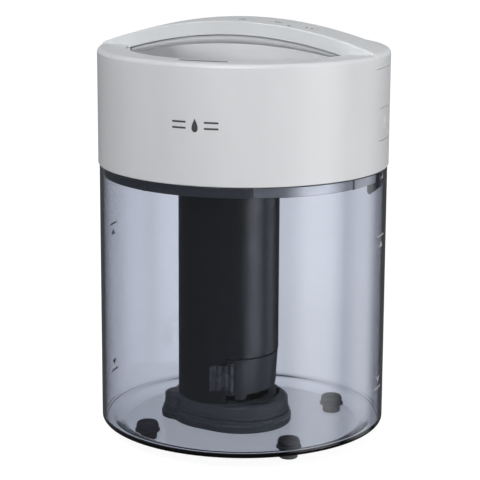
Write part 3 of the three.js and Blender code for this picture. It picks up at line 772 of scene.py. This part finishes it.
def on_crest(name, cx, cy, outlines, lift, thick):
    """Flat shapes in plan laid on the crest of the handle."""
    bm = bmesh.new()
    for outline in outlines:
        low = [bm.verts.new((cx + u, cy + v, crest(cx + u) + lift)) for u, v in outline]
        high = [bm.verts.new((cx + u, cy + v, crest(cx + u) + lift + thick)) for u, v in outline]
        bm.faces.new(low[::-1])
        bm.faces.new(high)
        for i, _ in enumerate(outline):
            j = (i + 1) % len(outline)
            bm.faces.new((low[i], low[j], high[j], high[i]))
    return piece_from(bm, name)


def key_cap(node):
    """A round key, slightly dished, with its top on the line of the crest."""
    cx, cy = key_centre(node)
    floor = span(node)[0].z
    levels = [(KEY_R, -0.5), (KEY_R - 0.1, -0.25), (KEY_R - 0.3, -0.1), (KEY_R - 0.6, -0.06), (4.0, -0.2), (2.0, -0.27)]
    turns = [FULL_TURN * k / 64 for k in range(64)]
    rings = [[(cx, cy, floor)], [(cx + KEY_R * math.sin(t), cy - KEY_R * math.cos(t), floor) for t in turns]]
    for radius, lift in levels:
        ring = [(cx + radius * math.sin(t), cy - radius * math.cos(t)) for t in turns]
        rings.append([(x, y, crest(x) + lift) for x, y in ring])
    rings.append([(cx, cy, crest(cx) - 0.3)])
    cap = skin(rings, f"{node}_cap")
    return dress(cap, CAP_WHITE, node, "cap_white", node)


def arc_band(r0, r1, start, end, steps=24):
    """The outline of part of a ring in plan, between two angles from +Y."""
    turns = [math.radians(start + (end - start) * k / steps) for k in range(steps + 1)]
    outer = [(r1 * math.sin(t), r1 * math.cos(t)) for t in turns]
    inner = [(r0 * math.sin(t), r0 * math.cos(t)) for t in turns[::-1]]
    return outer + inner


def drop_outline(width, height, steps=28):
    """A water drop, point up, centred on its middle."""
    points = []
    for k in range(steps):
        t = FULL_TURN * k / steps
        points.append((width / 2 * math.sin(t) * math.sin(t / 2) ** 1.4, height / 2 * math.cos(t)))
    return points


def icon(name, node, outlines, body):
    cx, cy = key_centre(node)
    made = on_crest(name, cx, cy, outlines, -0.2, 0.12)
    return dress(made, ICON_INK, body, "charcoal")


def key_icons():
    """Plain symbols: a lamp ring with rays, a power sign and a drop."""
    rays = [[(math.sin(a) * r + math.cos(a) * s, math.cos(a) * r - math.sin(a) * s)
             for r, s in ((2.1, -0.22), (3.1, -0.22), (3.1, 0.22), (2.1, 0.22))]
            for a in [FULL_TURN * k / 8 for k in range(8)]]
    icon("light_icon", "light_key", [arc_band(0.75, 1.4, 0, 359), *rays], "light_key")
    bar = [(-0.28, 0.6), (0.28, 0.6), (0.28, 3.3), (-0.28, 3.3)]
    icon("power_icon", "power_key", [arc_band(2.2, 2.75, 32, 328), bar], "power_key")
    drops = [[(u + shift, v) for u, v in drop_outline(2.6, 3.9)] for shift in (-2.1, 1.9)]
    icon("mist_icon", "mist_key", drops, "mist_key")


def lens():
    """The indicator's light pipe, a low dome."""
    low, high = span("indicator_lens")
    cx, cy = (low.x + high.x) / 2, (low.y + high.y) / 2
    radius = (high.x - low.x) / 2
    turns = [FULL_TURN * k / 40 for k in range(40)]
    rings = [[(cx, cy, low.z)]]
    for share, lift in ((1.0, None), (1.0, -0.3), (0.9, -0.12), (0.6, -0.03)):
        ring = [(cx + share * radius * math.sin(t), cy - share * radius * math.cos(t)) for t in turns]
        rings.append([(x, y, low.z if lift is None else crest(x) + lift) for x, y in ring])
    rings.append([(cx, cy, crest(cx) - 0.01)])
    return dress(skin(rings, "light_pipe"), LIGHT_PIPE, "head", "lens", "indicator_lens")


def emblem():
    """A plain drop between two short bars, printed on the front of the head."""
    z = 250.3
    drop = [(u, z + v) for u, v in drop_outline(6.4, 9.6)]
    bars = []
    for side in (-1, 1):
        for level, reach in ((2.1, 17.0), (-2.1, 17.0)):
            bar = rounded_rectangle(5.2, z + level - 0.65, z + level + 0.65, 0.5)
            bars.append([(u + side * (reach - 5.2), v) for u, v in bar])
    made = wrapped("front_emblem", 1.1, [drop, *bars], HOUSING_R - 0.05, HEAD_R, step=1.0)
    return dress(made, DARK_INK, "head", "charcoal")


# --- Release buttons ----------------------------------------------------------------------------------

BUTTON_R = HEAD_R - 0.3
SIDES = (("right", 90), ("left", 270))


def release_cap(side, azimuth):
    """A push button flush with the head, with three finger ribs and the stem that carries the latch."""
    cap = wrapped(f"release_cap_{side}", azimuth, [button_outline(0.0)], BUTTON_R - 2.2, BUTTON_R, edge=0.5)
    middle = sum(BUTTON_Z) / 2
    ribs = [[(u + shift, v) for u, v in rounded_rectangle(0.8, middle - 4.2, middle + 4.2, 0.7)]
            for shift in (-4.6, 0.0, 4.6)]
    bars = wrapped("ribs", azimuth, ribs, BUTTON_R - 0.4, HEAD_R - 0.04, edge=0.2)
    turn = 1 if azimuth < 180 else -1
    reach = sorted((turn * (HEAD_R - 6.5), turn * (HEAD_R - 1.9)))
    stem = box_between("stem", reach, (-6, 6), (236, 247))
    weld(cap, bars, stem)
    return dress(cap, WHITE, f"release_{side}", "housing_white", f"release_button_{side}")


# --- Plate and skirt under the head -------------------------------------------------------------------

SKIRT_WALL = 2.2
SKIRT_R = 103.4
SKIRT_Z = PLATE_LOW.z
RIB_AZIMUTHS = [22.5 + 45 * k for k in range(8)]
HOOK_X = 98.5
HOOK_HALF = 13.6
COLUMN_SCREWS = [f"column_screw_{i}" for i in range(1, 4)]


def chassis():
    """The plate that closes the head, with the ring that centres it in the tank's mouth."""
    top, under = PLATE_HIGH.z, HEAD_BOTTOM
    plate_top = span("case_screw_1")[0].z + 5.0
    plate = lathe("chassis", [
        (0, under), (SKIRT_R - SKIRT_WALL, under, 1.2), (SKIRT_R - SKIRT_WALL, SKIRT_Z, 0.5),
        (SKIRT_R, SKIRT_Z, 0.8), (SKIRT_R, under, 0.3), (HEAD_R - HEAD_WALL - 0.5, under, 0.3),
        (HEAD_R - HEAD_WALL - 0.5, plate_top, 0.4), (0, plate_top),
    ])
    ribs = [wrapped("rib", azimuth, [rounded_rectangle(0.9, SKIRT_Z + 0.1, under - 0.3, 0.3)],
                    SKIRT_R - 1, SKIRT_R + 0.7, edge=0.25) for azimuth in RIB_AZIMUTHS]
    posts = [box_between("post", sorted((turn * 86.6, turn * 88.9)), (-5, 5), (under + 1, top)) for turn in (-1, 1)]
    weld(plate, *ribs, *posts)
    slots = [box_between("slot", sorted((turn * (HOOK_X - 4.2), turn * HEAD_R)),
                         (-HOOK_HALF - 0.7, HOOK_HALF + 0.7), (190, 215)) for turn in (-1, 1)]
    bores = []
    for node in [f"case_screw_{i}" for i in range(1, 5)] + COLUMN_SCREWS:
        low, high = span(node)
        x, y = (low.x + high.x) / 2, (low.y + high.y) / 2
        bores.append(rod("bore", (x, y, 200), (x, y, 215), 1.8, 24))
    mist_hole = rod("mist_hole", (COLUMN_X, 0, 200), (COLUMN_X, 0, 215), TUBE_HIGH.x - COLUMN_X + 1)
    air_hole = rod("air_hole", (COLUMN_X + 27, 0, 200), (COLUMN_X + 27, 0, 215), 6, 48)
    carve(plate, *slots, *bores, mist_hole, air_hole)
    return dress(plate, SATIN_RING, "head", "charcoal", "chassis_plate")


def ring_highlight_band():
    """A painted highlight: a light metallic copy of the ring's colour let in to the front right of the ring, up to the
    latch, where the key light falls.
    """
    face = SKIRT_R + 0.25
    start, end = along(RIB_AZIMUTHS[0] + 0.6, face), along(84.5, face)
    low, high = SKIRT_Z + 0.5, HEAD_BOTTOM + 0.1
    band = wrapped("ring_highlight_band", 0, [[(start, low), (end, low), (end, high), (start, high)]], SKIRT_R - 0.4, face)
    return dress(band, RING_PAINTED_HIGHLIGHT, "head", "charcoal")


# --- Column -------------------------------------------------------------------------------------------

AXIS = (COLUMN_X, 0.0)
SLEEVE_R = 38.1
SLEEVE_WALL = 2.0
FLANGE_R = 44.6
DOOR_TOP = 63.4
DOOR_Z = 35.0
DOOR_FROM = 17.0
DOOR_DRAFT = 2.0
DOOR_TO = 140.0
CLIP_Z = (39.6, 58.6)
CLIP_AZIMUTH = DOOR_FROM + 5.5
HINGE_R = SLEEVE_R + 2.9
HINGE_AZIMUTH = DOOR_TO + 1.5
PIN_R = 0.95


def along(azimuth, radius=SLEEVE_R):
    """The distance round the column at an azimuth."""
    return math.radians(azimuth) * radius


def column_tube():
    """The sleeve: a flange at its top, a window for the door and two eyes for the hinge pin."""
    top = SLEEVE_HIGH.z
    bottom = SLEEVE_LOW.z
    inner = SLEEVE_R - SLEEVE_WALL
    tube = lathe("column_tube", [
        (inner, bottom, 0.3), (SLEEVE_R, bottom, 0.4), (SLEEVE_R, top - 2.6, 1.2), (FLANGE_R, top - 2.6, 0.5),
        (FLANGE_R, top, 0.3), (inner, top, 0.3),
    ], AXIS, 160)
    beyond = SLEEVE_R + 2
    start, end = along(DOOR_FROM, beyond), along(DOOR_TO, beyond)
    window = wrapped("window", 0, [[(start, 20), (end, 20), (end, DOOR_TOP), (start, DOOR_TOP)]], 30, beyond,
                     axis=AXIS)
    hole = rod("seam_hole", (*column_point(36.6, 38.0), DOOR_TOP), (*column_point(39, 38.0), DOOR_TOP), 0.9, 24)
    notch_left, notch_right = along(15.6, beyond), along(DOOR_FROM + 0.2, beyond)
    notch = wrapped("notch", 0, [[(notch_left, 58.4), (notch_right, 58.4), (notch_right, DOOR_TOP),
                                  (notch_left, DOOR_TOP)]], 33, beyond, axis=AXIS)
    eyes = [eye(z0, z1) for z0, z1 in ((DOOR_Z - 2.4, DOOR_Z + 0.6), (DOOR_TOP - 0.9, DOOR_TOP + 2))]
    carve(tube, window, notch, hole)
    weld(tube, *eyes)
    hx, hy = column_point(HINGE_R, HINGE_AZIMUTH)
    carve(tube, rod("pin_bore", (hx, hy, 20), (hx, hy, 80), PIN_R + GAP, 32))
    return dress(tube, CHARCOAL, "head", "charcoal", "column_sleeve")


def column_point(radius, azimuth):
    x, y = polar(radius, azimuth)
    return AXIS[0] + x, AXIS[1] + y


def eye(z0, z1):
    """A lug of the sleeve that the hinge pin goes through."""
    x, y = column_point(HINGE_R, HINGE_AZIMUTH)
    barrel = rod("eye", (x, y, z0), (x, y, z1), 2.6, 40)
    start, end = along(DOOR_TO + 0.3, HINGE_R), along(DOOR_TO + 6, HINGE_R)
    web = wrapped("web", 0, [[(start, z0), (end, z0), (end, z1), (start, z1)]], SLEEVE_R - 1, HINGE_R, axis=AXIS)
    return weld(barrel, web)


def column_cover():
    """The door over the nebuliser, with a tab below, a barrel for its hinge and two ears for its clip."""
    outside = SLEEVE_R - 0.3
    inner = SLEEVE_R - SLEEVE_WALL
    left = along(DOOR_FROM + 0.7, outside)
    right = along(DOOR_TO - 3.7, outside)
    far = along(DOOR_TO - 0.9, outside)
    tab_left, tab_right = along(27, outside), along(41, outside)
    top = DOOR_TOP - 1.2
    low, high = DOOR_Z + 1, DOOR_TOP - 1.3
    outline = filleted([
        (left, DOOR_Z, 1.2), (tab_left, DOOR_Z, 0.5), (tab_left, DOOR_Z - 3.6, 1.0), (tab_right, DOOR_Z - 3.6, 1.0),
        (tab_right, DOOR_Z, 0.5), (right, DOOR_Z, 0.4), (right, low), (far, low), (far, high), (right, high),
        (right, top, 0.4), (left, top, 0.6),
    ])
    cover = wrapped("column_cover", 0, [outline], inner, outside, edge=0.35, axis=AXIS)
    for v in cover.data.vertices:
        arm = Vector((v.co.x / MM - AXIS[0], v.co.y / MM - AXIS[1]))
        azimuth = math.degrees(math.atan2(arm.x, -arm.y)) % 360
        share = min(1.0, max(0.0, (azimuth - 30) / 25), max(0.0, (DOOR_TO - 8 - azimuth) / 25))
        arm *= 1 - DOOR_DRAFT * share * (top - v.co.z / MM) / (arm.length * (top - DOOR_Z))
        v.co.x, v.co.y = (AXIS[0] + arm.x) * MM, (AXIS[1] + arm.y) * MM
    hx, hy = column_point(HINGE_R, HINGE_AZIMUTH)
    barrel = rod("barrel", (hx, hy, low), (hx, hy, high), 2.4, 40)
    start, end = along(DOOR_TO - 4, HINGE_R), along(DOOR_TO - 0.7, HINGE_R)
    leaf = wrapped("leaf", 0, [[(start, low), (end, low), (end, high), (start, high)]],
                   SLEEVE_R - 1, HINGE_R, axis=AXIS)
    cx, cy = column_point(CLIP_R, CLIP_AZIMUTH)
    ears = []
    for z0, z1 in ((CLIP_Z[0] - 2.7, CLIP_Z[0] - 0.5), (CLIP_Z[1] + 0.5, CLIP_Z[1] + 2.7)):
        ear = rod("ear", (cx, cy, z0), (cx, cy, z1), 2.1, 40)
        web = wrapped("web", CLIP_AZIMUTH, [[(-1.0, z0), (1.6, z0), (1.6, z1), (-1.0, z1)]],
                      SLEEVE_R - 1, CLIP_R, axis=AXIS)
        ears.append(weld(ear, web))
    weld(cover, barrel, leaf, *ears)
    carve(cover, rod("bore", (hx, hy, 20), (hx, hy, 80), PIN_R + GAP, 32),
          rod("bore", (cx, cy, 20), (cx, cy, 80), PIN_R + GAP, 32))
    return dress(cover, DOOR_PAINTED_LIGHT_GREY, "door", "charcoal", "column_door")


CLIP_R = SLEEVE_R + 2.3
CLIP_START = DOOR_FROM - 18


def cover_clip():
    """The clip that holds the door shut: a curved tongue with three soft ribs, turning on its own stubs."""
    base = SLEEVE_R + 0.4
    thin, rib = 1.0, 3.1
    ribs = ((CLIP_START + 1.6, 1.6), (CLIP_START + 10.6, 2.5), (CLIP_START + 18.4, 2.6))
    end = CLIP_AZIMUTH - 1.4
    steps = 70
    outer, inner = [], []
    for k in range(steps + 1):
        azimuth = CLIP_START + (end - CLIP_START) * k / steps
        height = max([0.0] + [1 - abs((azimuth - middle) / half) ** 3 for middle, half in ribs])
        outer.append(column_point(base + thin + (rib - thin) * height ** 0.5, azimuth))
        inner.append(column_point(base, azimuth))
    loop = outer + inner[::-1]
    low, high = CLIP_Z
    rings = [[(x, y, z) for x, y in loop] for z in (low, high)]
    tongue = skin(rings, "cover_clip")
    cx, cy = column_point(CLIP_R, CLIP_AZIMUTH)
    knuckle = rod("knuckle", (cx, cy, low), (cx, cy, high), 1.75, 40)
    stub = rod("stub", (cx, cy, low - 2.7), (cx, cy, high + 2.7), PIN_R, 32)
    weld(tongue, knuckle, stub)
    bevel = tongue.modifiers.new("edges", "BEVEL")
    bevel.width = 0.25 * MM
    bevel.segments = 2
    bevel.limit_method = "ANGLE"
    bevel.angle_limit = math.radians(55)
    return dress(tongue, CLIP_PAINTED_LIGHT_GREY, "clip", "charcoal", "door_clip")


def nozzle():
    """The mist nozzle: a low dome with a slanted outlet and a grip rib."""
    low, high = span("mist_nozzle")
    floor = BOWL_FLOOR_Z + 0.4
    dome = lathe("mist_dome", [
        (17.4, floor - 5, 0.3), (19.4, floor - 5, 0.5), (19.4, floor), (24.5, floor, 0.4), (24.5, floor + 1.6, 0.6),
        (22.3, floor + 2.6, 1.0), (20.6, floor + 9.6, 3.0), (0, high.z), (0, high.z - 1.8), (16.4, floor + 10.0, 1.5),
        (18.2, floor + 8.4, 1.0), (17.4, floor + 1),
    ], AXIS, HOOP)
    lean = math.radians(35)
    start = (COLUMN_X, -3, floor - 2)
    end = (COLUMN_X, -3 - 30 * math.sin(lean), floor - 2 + 30 * math.cos(lean))
    carve(dome, rod("outlet", start, end, 6.5, 64))
    return dress(dome, CAP_WHITE, "nozzle", "cap_white", "mist_nozzle")


# --- Base of the column -------------------------------------------------------------------------------

# The outline of the base, seen from above, is a chamber, a sleeve flange and a float lobe about the column.
LOBES = ((12.0, -5.0, 38.6), (-2.0, 3.0, 43.6), (-36.0, -13.0, 13.0))
BASE_WALL = 2.2
TRAY_TOP = TRAY_HIGH.z
BASE_TOP = HOUSING_HIGH.z
OUTLINE_POINTS = 240


def lobed(inset):
    """The base's outline drawn in by some distance, as a function of the direction from the column's axis."""
    def reach(turn):
        dx, dy = math.sin(turn), -math.cos(turn)
        hits = []
        for x, y, radius in LOBES:
            middle = x * dx + y * dy
            miss = radius - inset
            inside = miss ** 2 - (x * x + y * y - middle ** 2)
            if inside > 0:
                hits.append(middle + math.sqrt(inside))
        blend = 1.1
        return blend * math.log(sum(math.exp(h / blend) for h in hits)) if hits else 0.0
    return reach


def round_hole(radius):
    return lambda turn: radius


def lofted(name, levels):
    """A solid about the column's axis from (outline, height) levels; an outline of None is the axis itself."""
    rings = []
    for outline, z in levels:
        if outline is None:
            rings.append([(*AXIS, z)])
            continue
        turns = [FULL_TURN * k / OUTLINE_POINTS for k in range(OUTLINE_POINTS)]
        rings.append([(AXIS[0] + outline(t) * math.sin(t), AXIS[1] - outline(t) * math.cos(t), z) for t in turns])
    return skin(rings, name, closed=True)


def stepped(outline):
    """Levels from (inset, height[, fillet]) corners of a wall."""
    return [(lobed(inset), z) for inset, z in filleted(outline, closed=False)]


def base_screws():
    return [((low.x + high.x) / 2, (low.y + high.y) / 2) for low, high in
            (span(f"base_screw_{i}") for i in range(1, 4))]


def tray():
    """The lower shell of the base, in two tiers, with screw posts."""
    bottom = TRAY_LOW.z
    step = bottom + 5.8
    levels = [(None, bottom)]
    levels += stepped([(6, bottom), (0.4, bottom, 1.2), (0, step, 0.7), (1.1, step + 0.1, 0.3), (1.1, TRAY_TOP, 0.5),
                       (3.3, TRAY_TOP, 0.3), (3.3, bottom + 2, 1.0), (8, bottom + 2)])
    levels += [(None, bottom + 2)]
    shell = lofted("tray", levels)
    weld(shell, *[rod("post", (x, y, bottom), (x, y, TRAY_TOP), 3.8, 40) for x, y in base_screws()])
    bores = [rod("bore", (x, y, 0), (x, y, 30), 1.8, 24) for x, y in base_screws()]
    sinks = [rod("sink", (x, y, 0), (x, y, bottom + 2.6), 3.2, 32) for x, y in base_screws()]
    carve(shell, *bores, *sinks, *lobe_grooves((bottom + 2.2, bottom + 4.2, bottom + 7.2)))
    return dress(shell, BASE_PAINTED_LIGHT_GREY, "head", "charcoal", "base_tray")


def lobe_grooves(heights):
    """Thin ring cutters round the float's lobe, which let water in to the float."""
    x, y, radius = LOBES[2]
    made = []
    for z in heights:
        made.append(lathe("groove", [(radius - 1.3, z - 0.35), (radius + 4, z - 0.35), (radius + 4, z + 0.35),
                                     (radius - 1.3, z + 0.35)], (AXIS[0] + x, AXIS[1] + y), 72))
    return made


def base_cover():
    """The upper shell of the base, open in the middle for the water chamber."""
    bottom = TRAY_TOP + GAP
    levels = stepped([(4.6, bottom, 0.2), (2.4, bottom, 0.4), (2.4, bottom + 3.0, 0.3), (2.75, bottom + 3.3, 0.3),
                      (2.75, BASE_TOP - 1.4, 0.9), (5.2, BASE_TOP, 1.2), (8.0, BASE_TOP)])
    levels += [(round_hole(31), BASE_TOP), (round_hole(31), BASE_TOP - 2)]
    levels += stepped([(8.0, BASE_TOP - 2), (4.8, BASE_TOP - 2, 1.0), (4.6, bottom + 1)])
    shell = lofted("base_cover", levels)
    under_door = wrapped("under_door", 0, [[(along(DOOR_FROM, 39.6), BASE_TOP - 3), (along(118, 39.6), BASE_TOP - 3),
                                            (along(118, 39.6), BASE_TOP + 1), (along(DOOR_FROM, 39.6), BASE_TOP + 1)]],
                         36.8, 39.6, axis=AXIS)
    carve(shell, under_door)
    carve(shell, *lobe_grooves((bottom + 1.6, bottom + 4.6, bottom + 7.0)))
    return dress(shell, BASE_PAINTED_LIGHT_GREY, "head", "charcoal", "base_housing")


# --- Inner parts that keep their CAD shape ------------------------------------------------------------

INNER_FINISH = {
    STEEL: ["blower_motor", "release_spring_right", "release_spring_left", "door_hinge_pin", "transducer_disc",
            *[f"case_screw_{i}" for i in range(1, 5)], *COLUMN_SCREWS, *[f"base_screw_{i}" for i in range(1, 4)]],
    CHARCOAL: ["blower_housing", "blower_impeller", "power_inlet", "transducer_retainer", "float_pin",
               "latch_hook_right", "latch_hook_left"],
    BOARD: ["control_board", "driver_board"],
    FINS: ["heat_sink"],
    FOAM: ["intake_filter"],
    WHITE: ["mist_tube"],
    SILICONE: ["transducer_seal", "level_float"],
}
SOFT_EDGE = {"power_inlet": 0.4, "latch_hook_right": 0.5, "latch_hook_left": 0.5}


def finish_inner_parts():
    """Materials for the CAD nodes that stay, with their edges eased."""
    for material, nodes in INNER_FINISH.items():
        for node in nodes:
            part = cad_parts[node]
            part.data.materials.clear()
            part.data.materials.append(material)
            merge_points = part.modifiers.new("weld", "WELD")
            merge_points.merge_threshold = 0.005 * MM
            edge = part.modifiers.new("edges", "BEVEL")
            edge.width = SOFT_EDGE.get(node, 0.12) * MM
            edge.segments = 2
            edge.limit_method = "ANGLE"
            edge.angle_limit = math.radians(40)


# --- Floor, light and camera --------------------------------------------------------------------------

def floor():
    """A pale floor that fills the picture, and that reflections and bounced light pass through."""
    bm = bmesh.new()
    half = 14000
    corners = [bm.verts.new(p) for p in ((-half, -half, 0), (half, -half, 0), (half, half, 0), (-half, half, 0))]
    bm.faces.new(corners)
    plane = piece_from(bm, "floor")
    surface = Surface("pale_floor")
    surface.set(Base_Color=(0.35, 0.35, 0.355, 1.0), Roughness=0.9, Specular_IOR_Level=0.0,
                Emission_Color=(1.0, 1.0, 1.0, 1.0), Emission_Strength=0.92)
    path = surface.nodes.new("ShaderNodeLightPath")
    bounces = path.outputs["Is Shadow Ray"]
    for depth in ("Glossy Depth", "Diffuse Depth"):
        total = surface.nodes.new("ShaderNodeMath")
        surface.links.new(bounces, total.inputs[0])
        surface.links.new(path.outputs[depth], total.inputs[1])
        bounces = total.outputs["Value"]
    seen_or_not = surface.nodes.new("ShaderNodeMixShader")
    surface.links.new(surface.between(bounces, 0.0, 1.0, 0.0, 1.0), seen_or_not.inputs["Fac"])
    surface.links.new(surface.shader.outputs["BSDF"], seen_or_not.inputs[1])
    surface.links.new(surface.nodes.new("ShaderNodeBsdfTransparent").outputs["BSDF"], seen_or_not.inputs[2])
    surface.links.new(seen_or_not.outputs["Shader"], surface.output.inputs["Surface"])
    plane.data.materials.append(surface.material)


WORLD_HORIZON = 0.75
WORLD_DIM = 0.30
WORLD_BELOW = 0.09


def surroundings():
    """A studio that is bright at the horizon and dim above and below it."""
    world = bpy.data.worlds.new("studio")
    bpy.context.scene.world = world
    world.use_nodes = True
    nodes, links = world.node_tree.nodes, world.node_tree.links
    parts = nodes.new("ShaderNodeSeparateXYZ")
    links.new(nodes.new("ShaderNodeTexCoord").outputs["Generated"], parts.inputs["Vector"])

    def fade(start, end, low, high):
        node = nodes.new("ShaderNodeMapRange")
        node.interpolation_type = "SMOOTHSTEP"
        for socket, value in (("From Min", start), ("From Max", end), ("To Min", low), ("To Max", high)):
            node.inputs[socket].default_value = value
        links.new(parts.outputs["Z"], node.inputs["Value"])
        return node.outputs["Result"]

    strength = nodes.new("ShaderNodeMath")
    strength.operation = "MINIMUM"
    links.new(fade(0.02, 0.30, WORLD_HORIZON, WORLD_DIM), strength.inputs[0])
    links.new(fade(-0.12, 0.02, WORLD_BELOW, WORLD_HORIZON), strength.inputs[1])
    background = nodes["Background"]
    background.inputs["Color"].default_value = (0.96, 0.97, 1.0, 1.0)
    links.new(strength.outputs["Value"], background.inputs["Strength"])


CAMERA_AZIMUTH = 19.2654

# Softboxes: the azimuth, distance and height of the middle, the tilt down, the size, the glow and the soft margin.
SOFTBOXES = (
    {"name": "key", "azimuth": 80, "away": 1.8, "z": 0.15, "tilt": 0, "size": (2.2, 2.6), "glow": 2.75, "margin": 1.0},
    {"name": "side", "azimuth": 128, "away": 1.8, "z": 0.15, "tilt": 0, "size": (1.7, 2.6), "glow": 1.25, "margin": 0.85},
    {"name": "front_fill", "azimuth": 4, "away": 1.7, "z": 1.7, "tilt": 42, "size": (1.6, 1.0), "glow": 8.6,
     "margin": 0.2},
)


def softbox(name, azimuth, away, z, tilt, size, glow, margin):
    """A glowing sheet that faces the object and fades towards its edges."""
    bm = bmesh.new()
    half_width, half_height = size[0] * 500, size[1] * 500
    ring = [(-half_width, -half_height, 0), (half_width, -half_height, 0), (half_width, half_height, 0),
            (-half_width, half_height, 0)]
    bm.faces.new([bm.verts.new(corner) for corner in ring])
    sheet = piece_from(bm, name)
    x, y = polar(away, azimuth)
    facing = Matrix.Rotation(math.radians(azimuth), 4, "Z") @ Matrix.Rotation(math.radians(-90 - tilt), 4, "X")
    sheet.matrix_world = Matrix.Translation((x, y, z)) @ facing
    material = bpy.data.materials.new(name)
    material.use_nodes = True
    nodes, links = material.node_tree.nodes, material.node_tree.links
    nodes.clear()
    parts = nodes.new("ShaderNodeSeparateXYZ")
    links.new(nodes.new("ShaderNodeTexCoord").outputs["Object"], parts.inputs["Vector"])
    levels = []
    for axis, half in (("X", size[0] / 2), ("Y", size[1] / 2)):
        distance = nodes.new("ShaderNodeMath")
        distance.operation = "ABSOLUTE"
        links.new(parts.outputs[axis], distance.inputs[0])
        fade = nodes.new("ShaderNodeMapRange")
        fade.interpolation_type = "SMOOTHERSTEP"
        for socket, value in (("From Min", half - margin), ("From Max", half), ("To Min", 1.0), ("To Max", 0.0)):
            fade.inputs[socket].default_value = value
        links.new(distance.outputs["Value"], fade.inputs["Value"])
        levels.append(fade.outputs["Result"])
    level = nodes.new("ShaderNodeMath")
    level.operation = "MULTIPLY"
    links.new(levels[0], level.inputs[0])
    links.new(levels[1], level.inputs[1])
    strength = nodes.new("ShaderNodeMath")
    strength.operation = "MULTIPLY"
    strength.inputs[1].default_value = glow
    links.new(level.outputs["Value"], strength.inputs[0])
    emission = nodes.new("ShaderNodeEmission")
    links.new(strength.outputs["Value"], emission.inputs["Strength"])
    output = nodes.new("ShaderNodeOutputMaterial")
    links.new(emission.outputs["Emission"], output.inputs["Surface"])
    sheet.data.materials.append(material)
    sheet.visible_camera = False
    sheet.visible_shadow = False


# The camera, in head radii from the object's axis and its foot.
CAMERA = {"away": 12.3291, "height": 4.0283, "foot": 0.0115, "pitch": 12.6852, "pan": 0.0977, "roll": 0.285}
LENS_MM = 135.89


def camera():
    """A long lens, nearly level, a little to the right of the front."""
    data = bpy.data.cameras.new("camera")
    data.lens = LENS_MM
    data.sensor_width = 36.0
    data.clip_end = 60.0
    made = bpy.data.objects.new("camera", data)
    x, y = polar(CAMERA["away"] * HEAD_R * MM, CAMERA_AZIMUTH)
    heading = math.radians(CAMERA_AZIMUTH + CAMERA["pan"])
    pitch = math.radians(CAMERA["pitch"])
    forward = Vector((-math.sin(heading) * math.cos(pitch), math.cos(heading) * math.cos(pitch), -math.sin(pitch)))
    right = Vector((math.cos(heading), math.sin(heading), 0))
    up = right.cross(forward)
    roll = math.radians(CAMERA["roll"])
    right, up = right * math.cos(roll) + up * math.sin(roll), up * math.cos(roll) - right * math.sin(roll)
    turned = Matrix((right, up, -forward)).transposed().to_4x4()
    place = Vector((x, y, CAMERA["height"] * HEAD_R * MM + CAMERA["foot"]))
    made.matrix_world = Matrix.Translation(place) @ turned
    bpy.context.scene.collection.objects.link(made)
    bpy.context.scene.camera = made


# --- The whole object ---------------------------------------------------------------------------------

tank_cup()
for number, foot_node in enumerate(FEET, 1):
    foot_plug(number, foot_node)
for mark_side, mark_azimuth, mark_drop in MARK_PLACES:
    level_marks(mark_side, mark_azimuth, mark_drop)
head_housing()
finger_slot_shade_sheet()
bowl()
handle_arch()
handle_strip()
handle_underside()
for key_node in KEYS:
    key_cap(key_node)
key_icons()
lens()
emblem()
for cap_side, cap_azimuth in SIDES:
    release_cap(cap_side, cap_azimuth)
chassis()
ring_highlight_band()
column_tube()
column_cover()
cover_clip()
nozzle()
tray()
base_cover()
finish_inner_parts()
floor()
surroundings()
for softbox_spec in SOFTBOXES:
    softbox(**softbox_spec)
camera()
bpy.context.scene.view_settings.view_transform = "Standard"
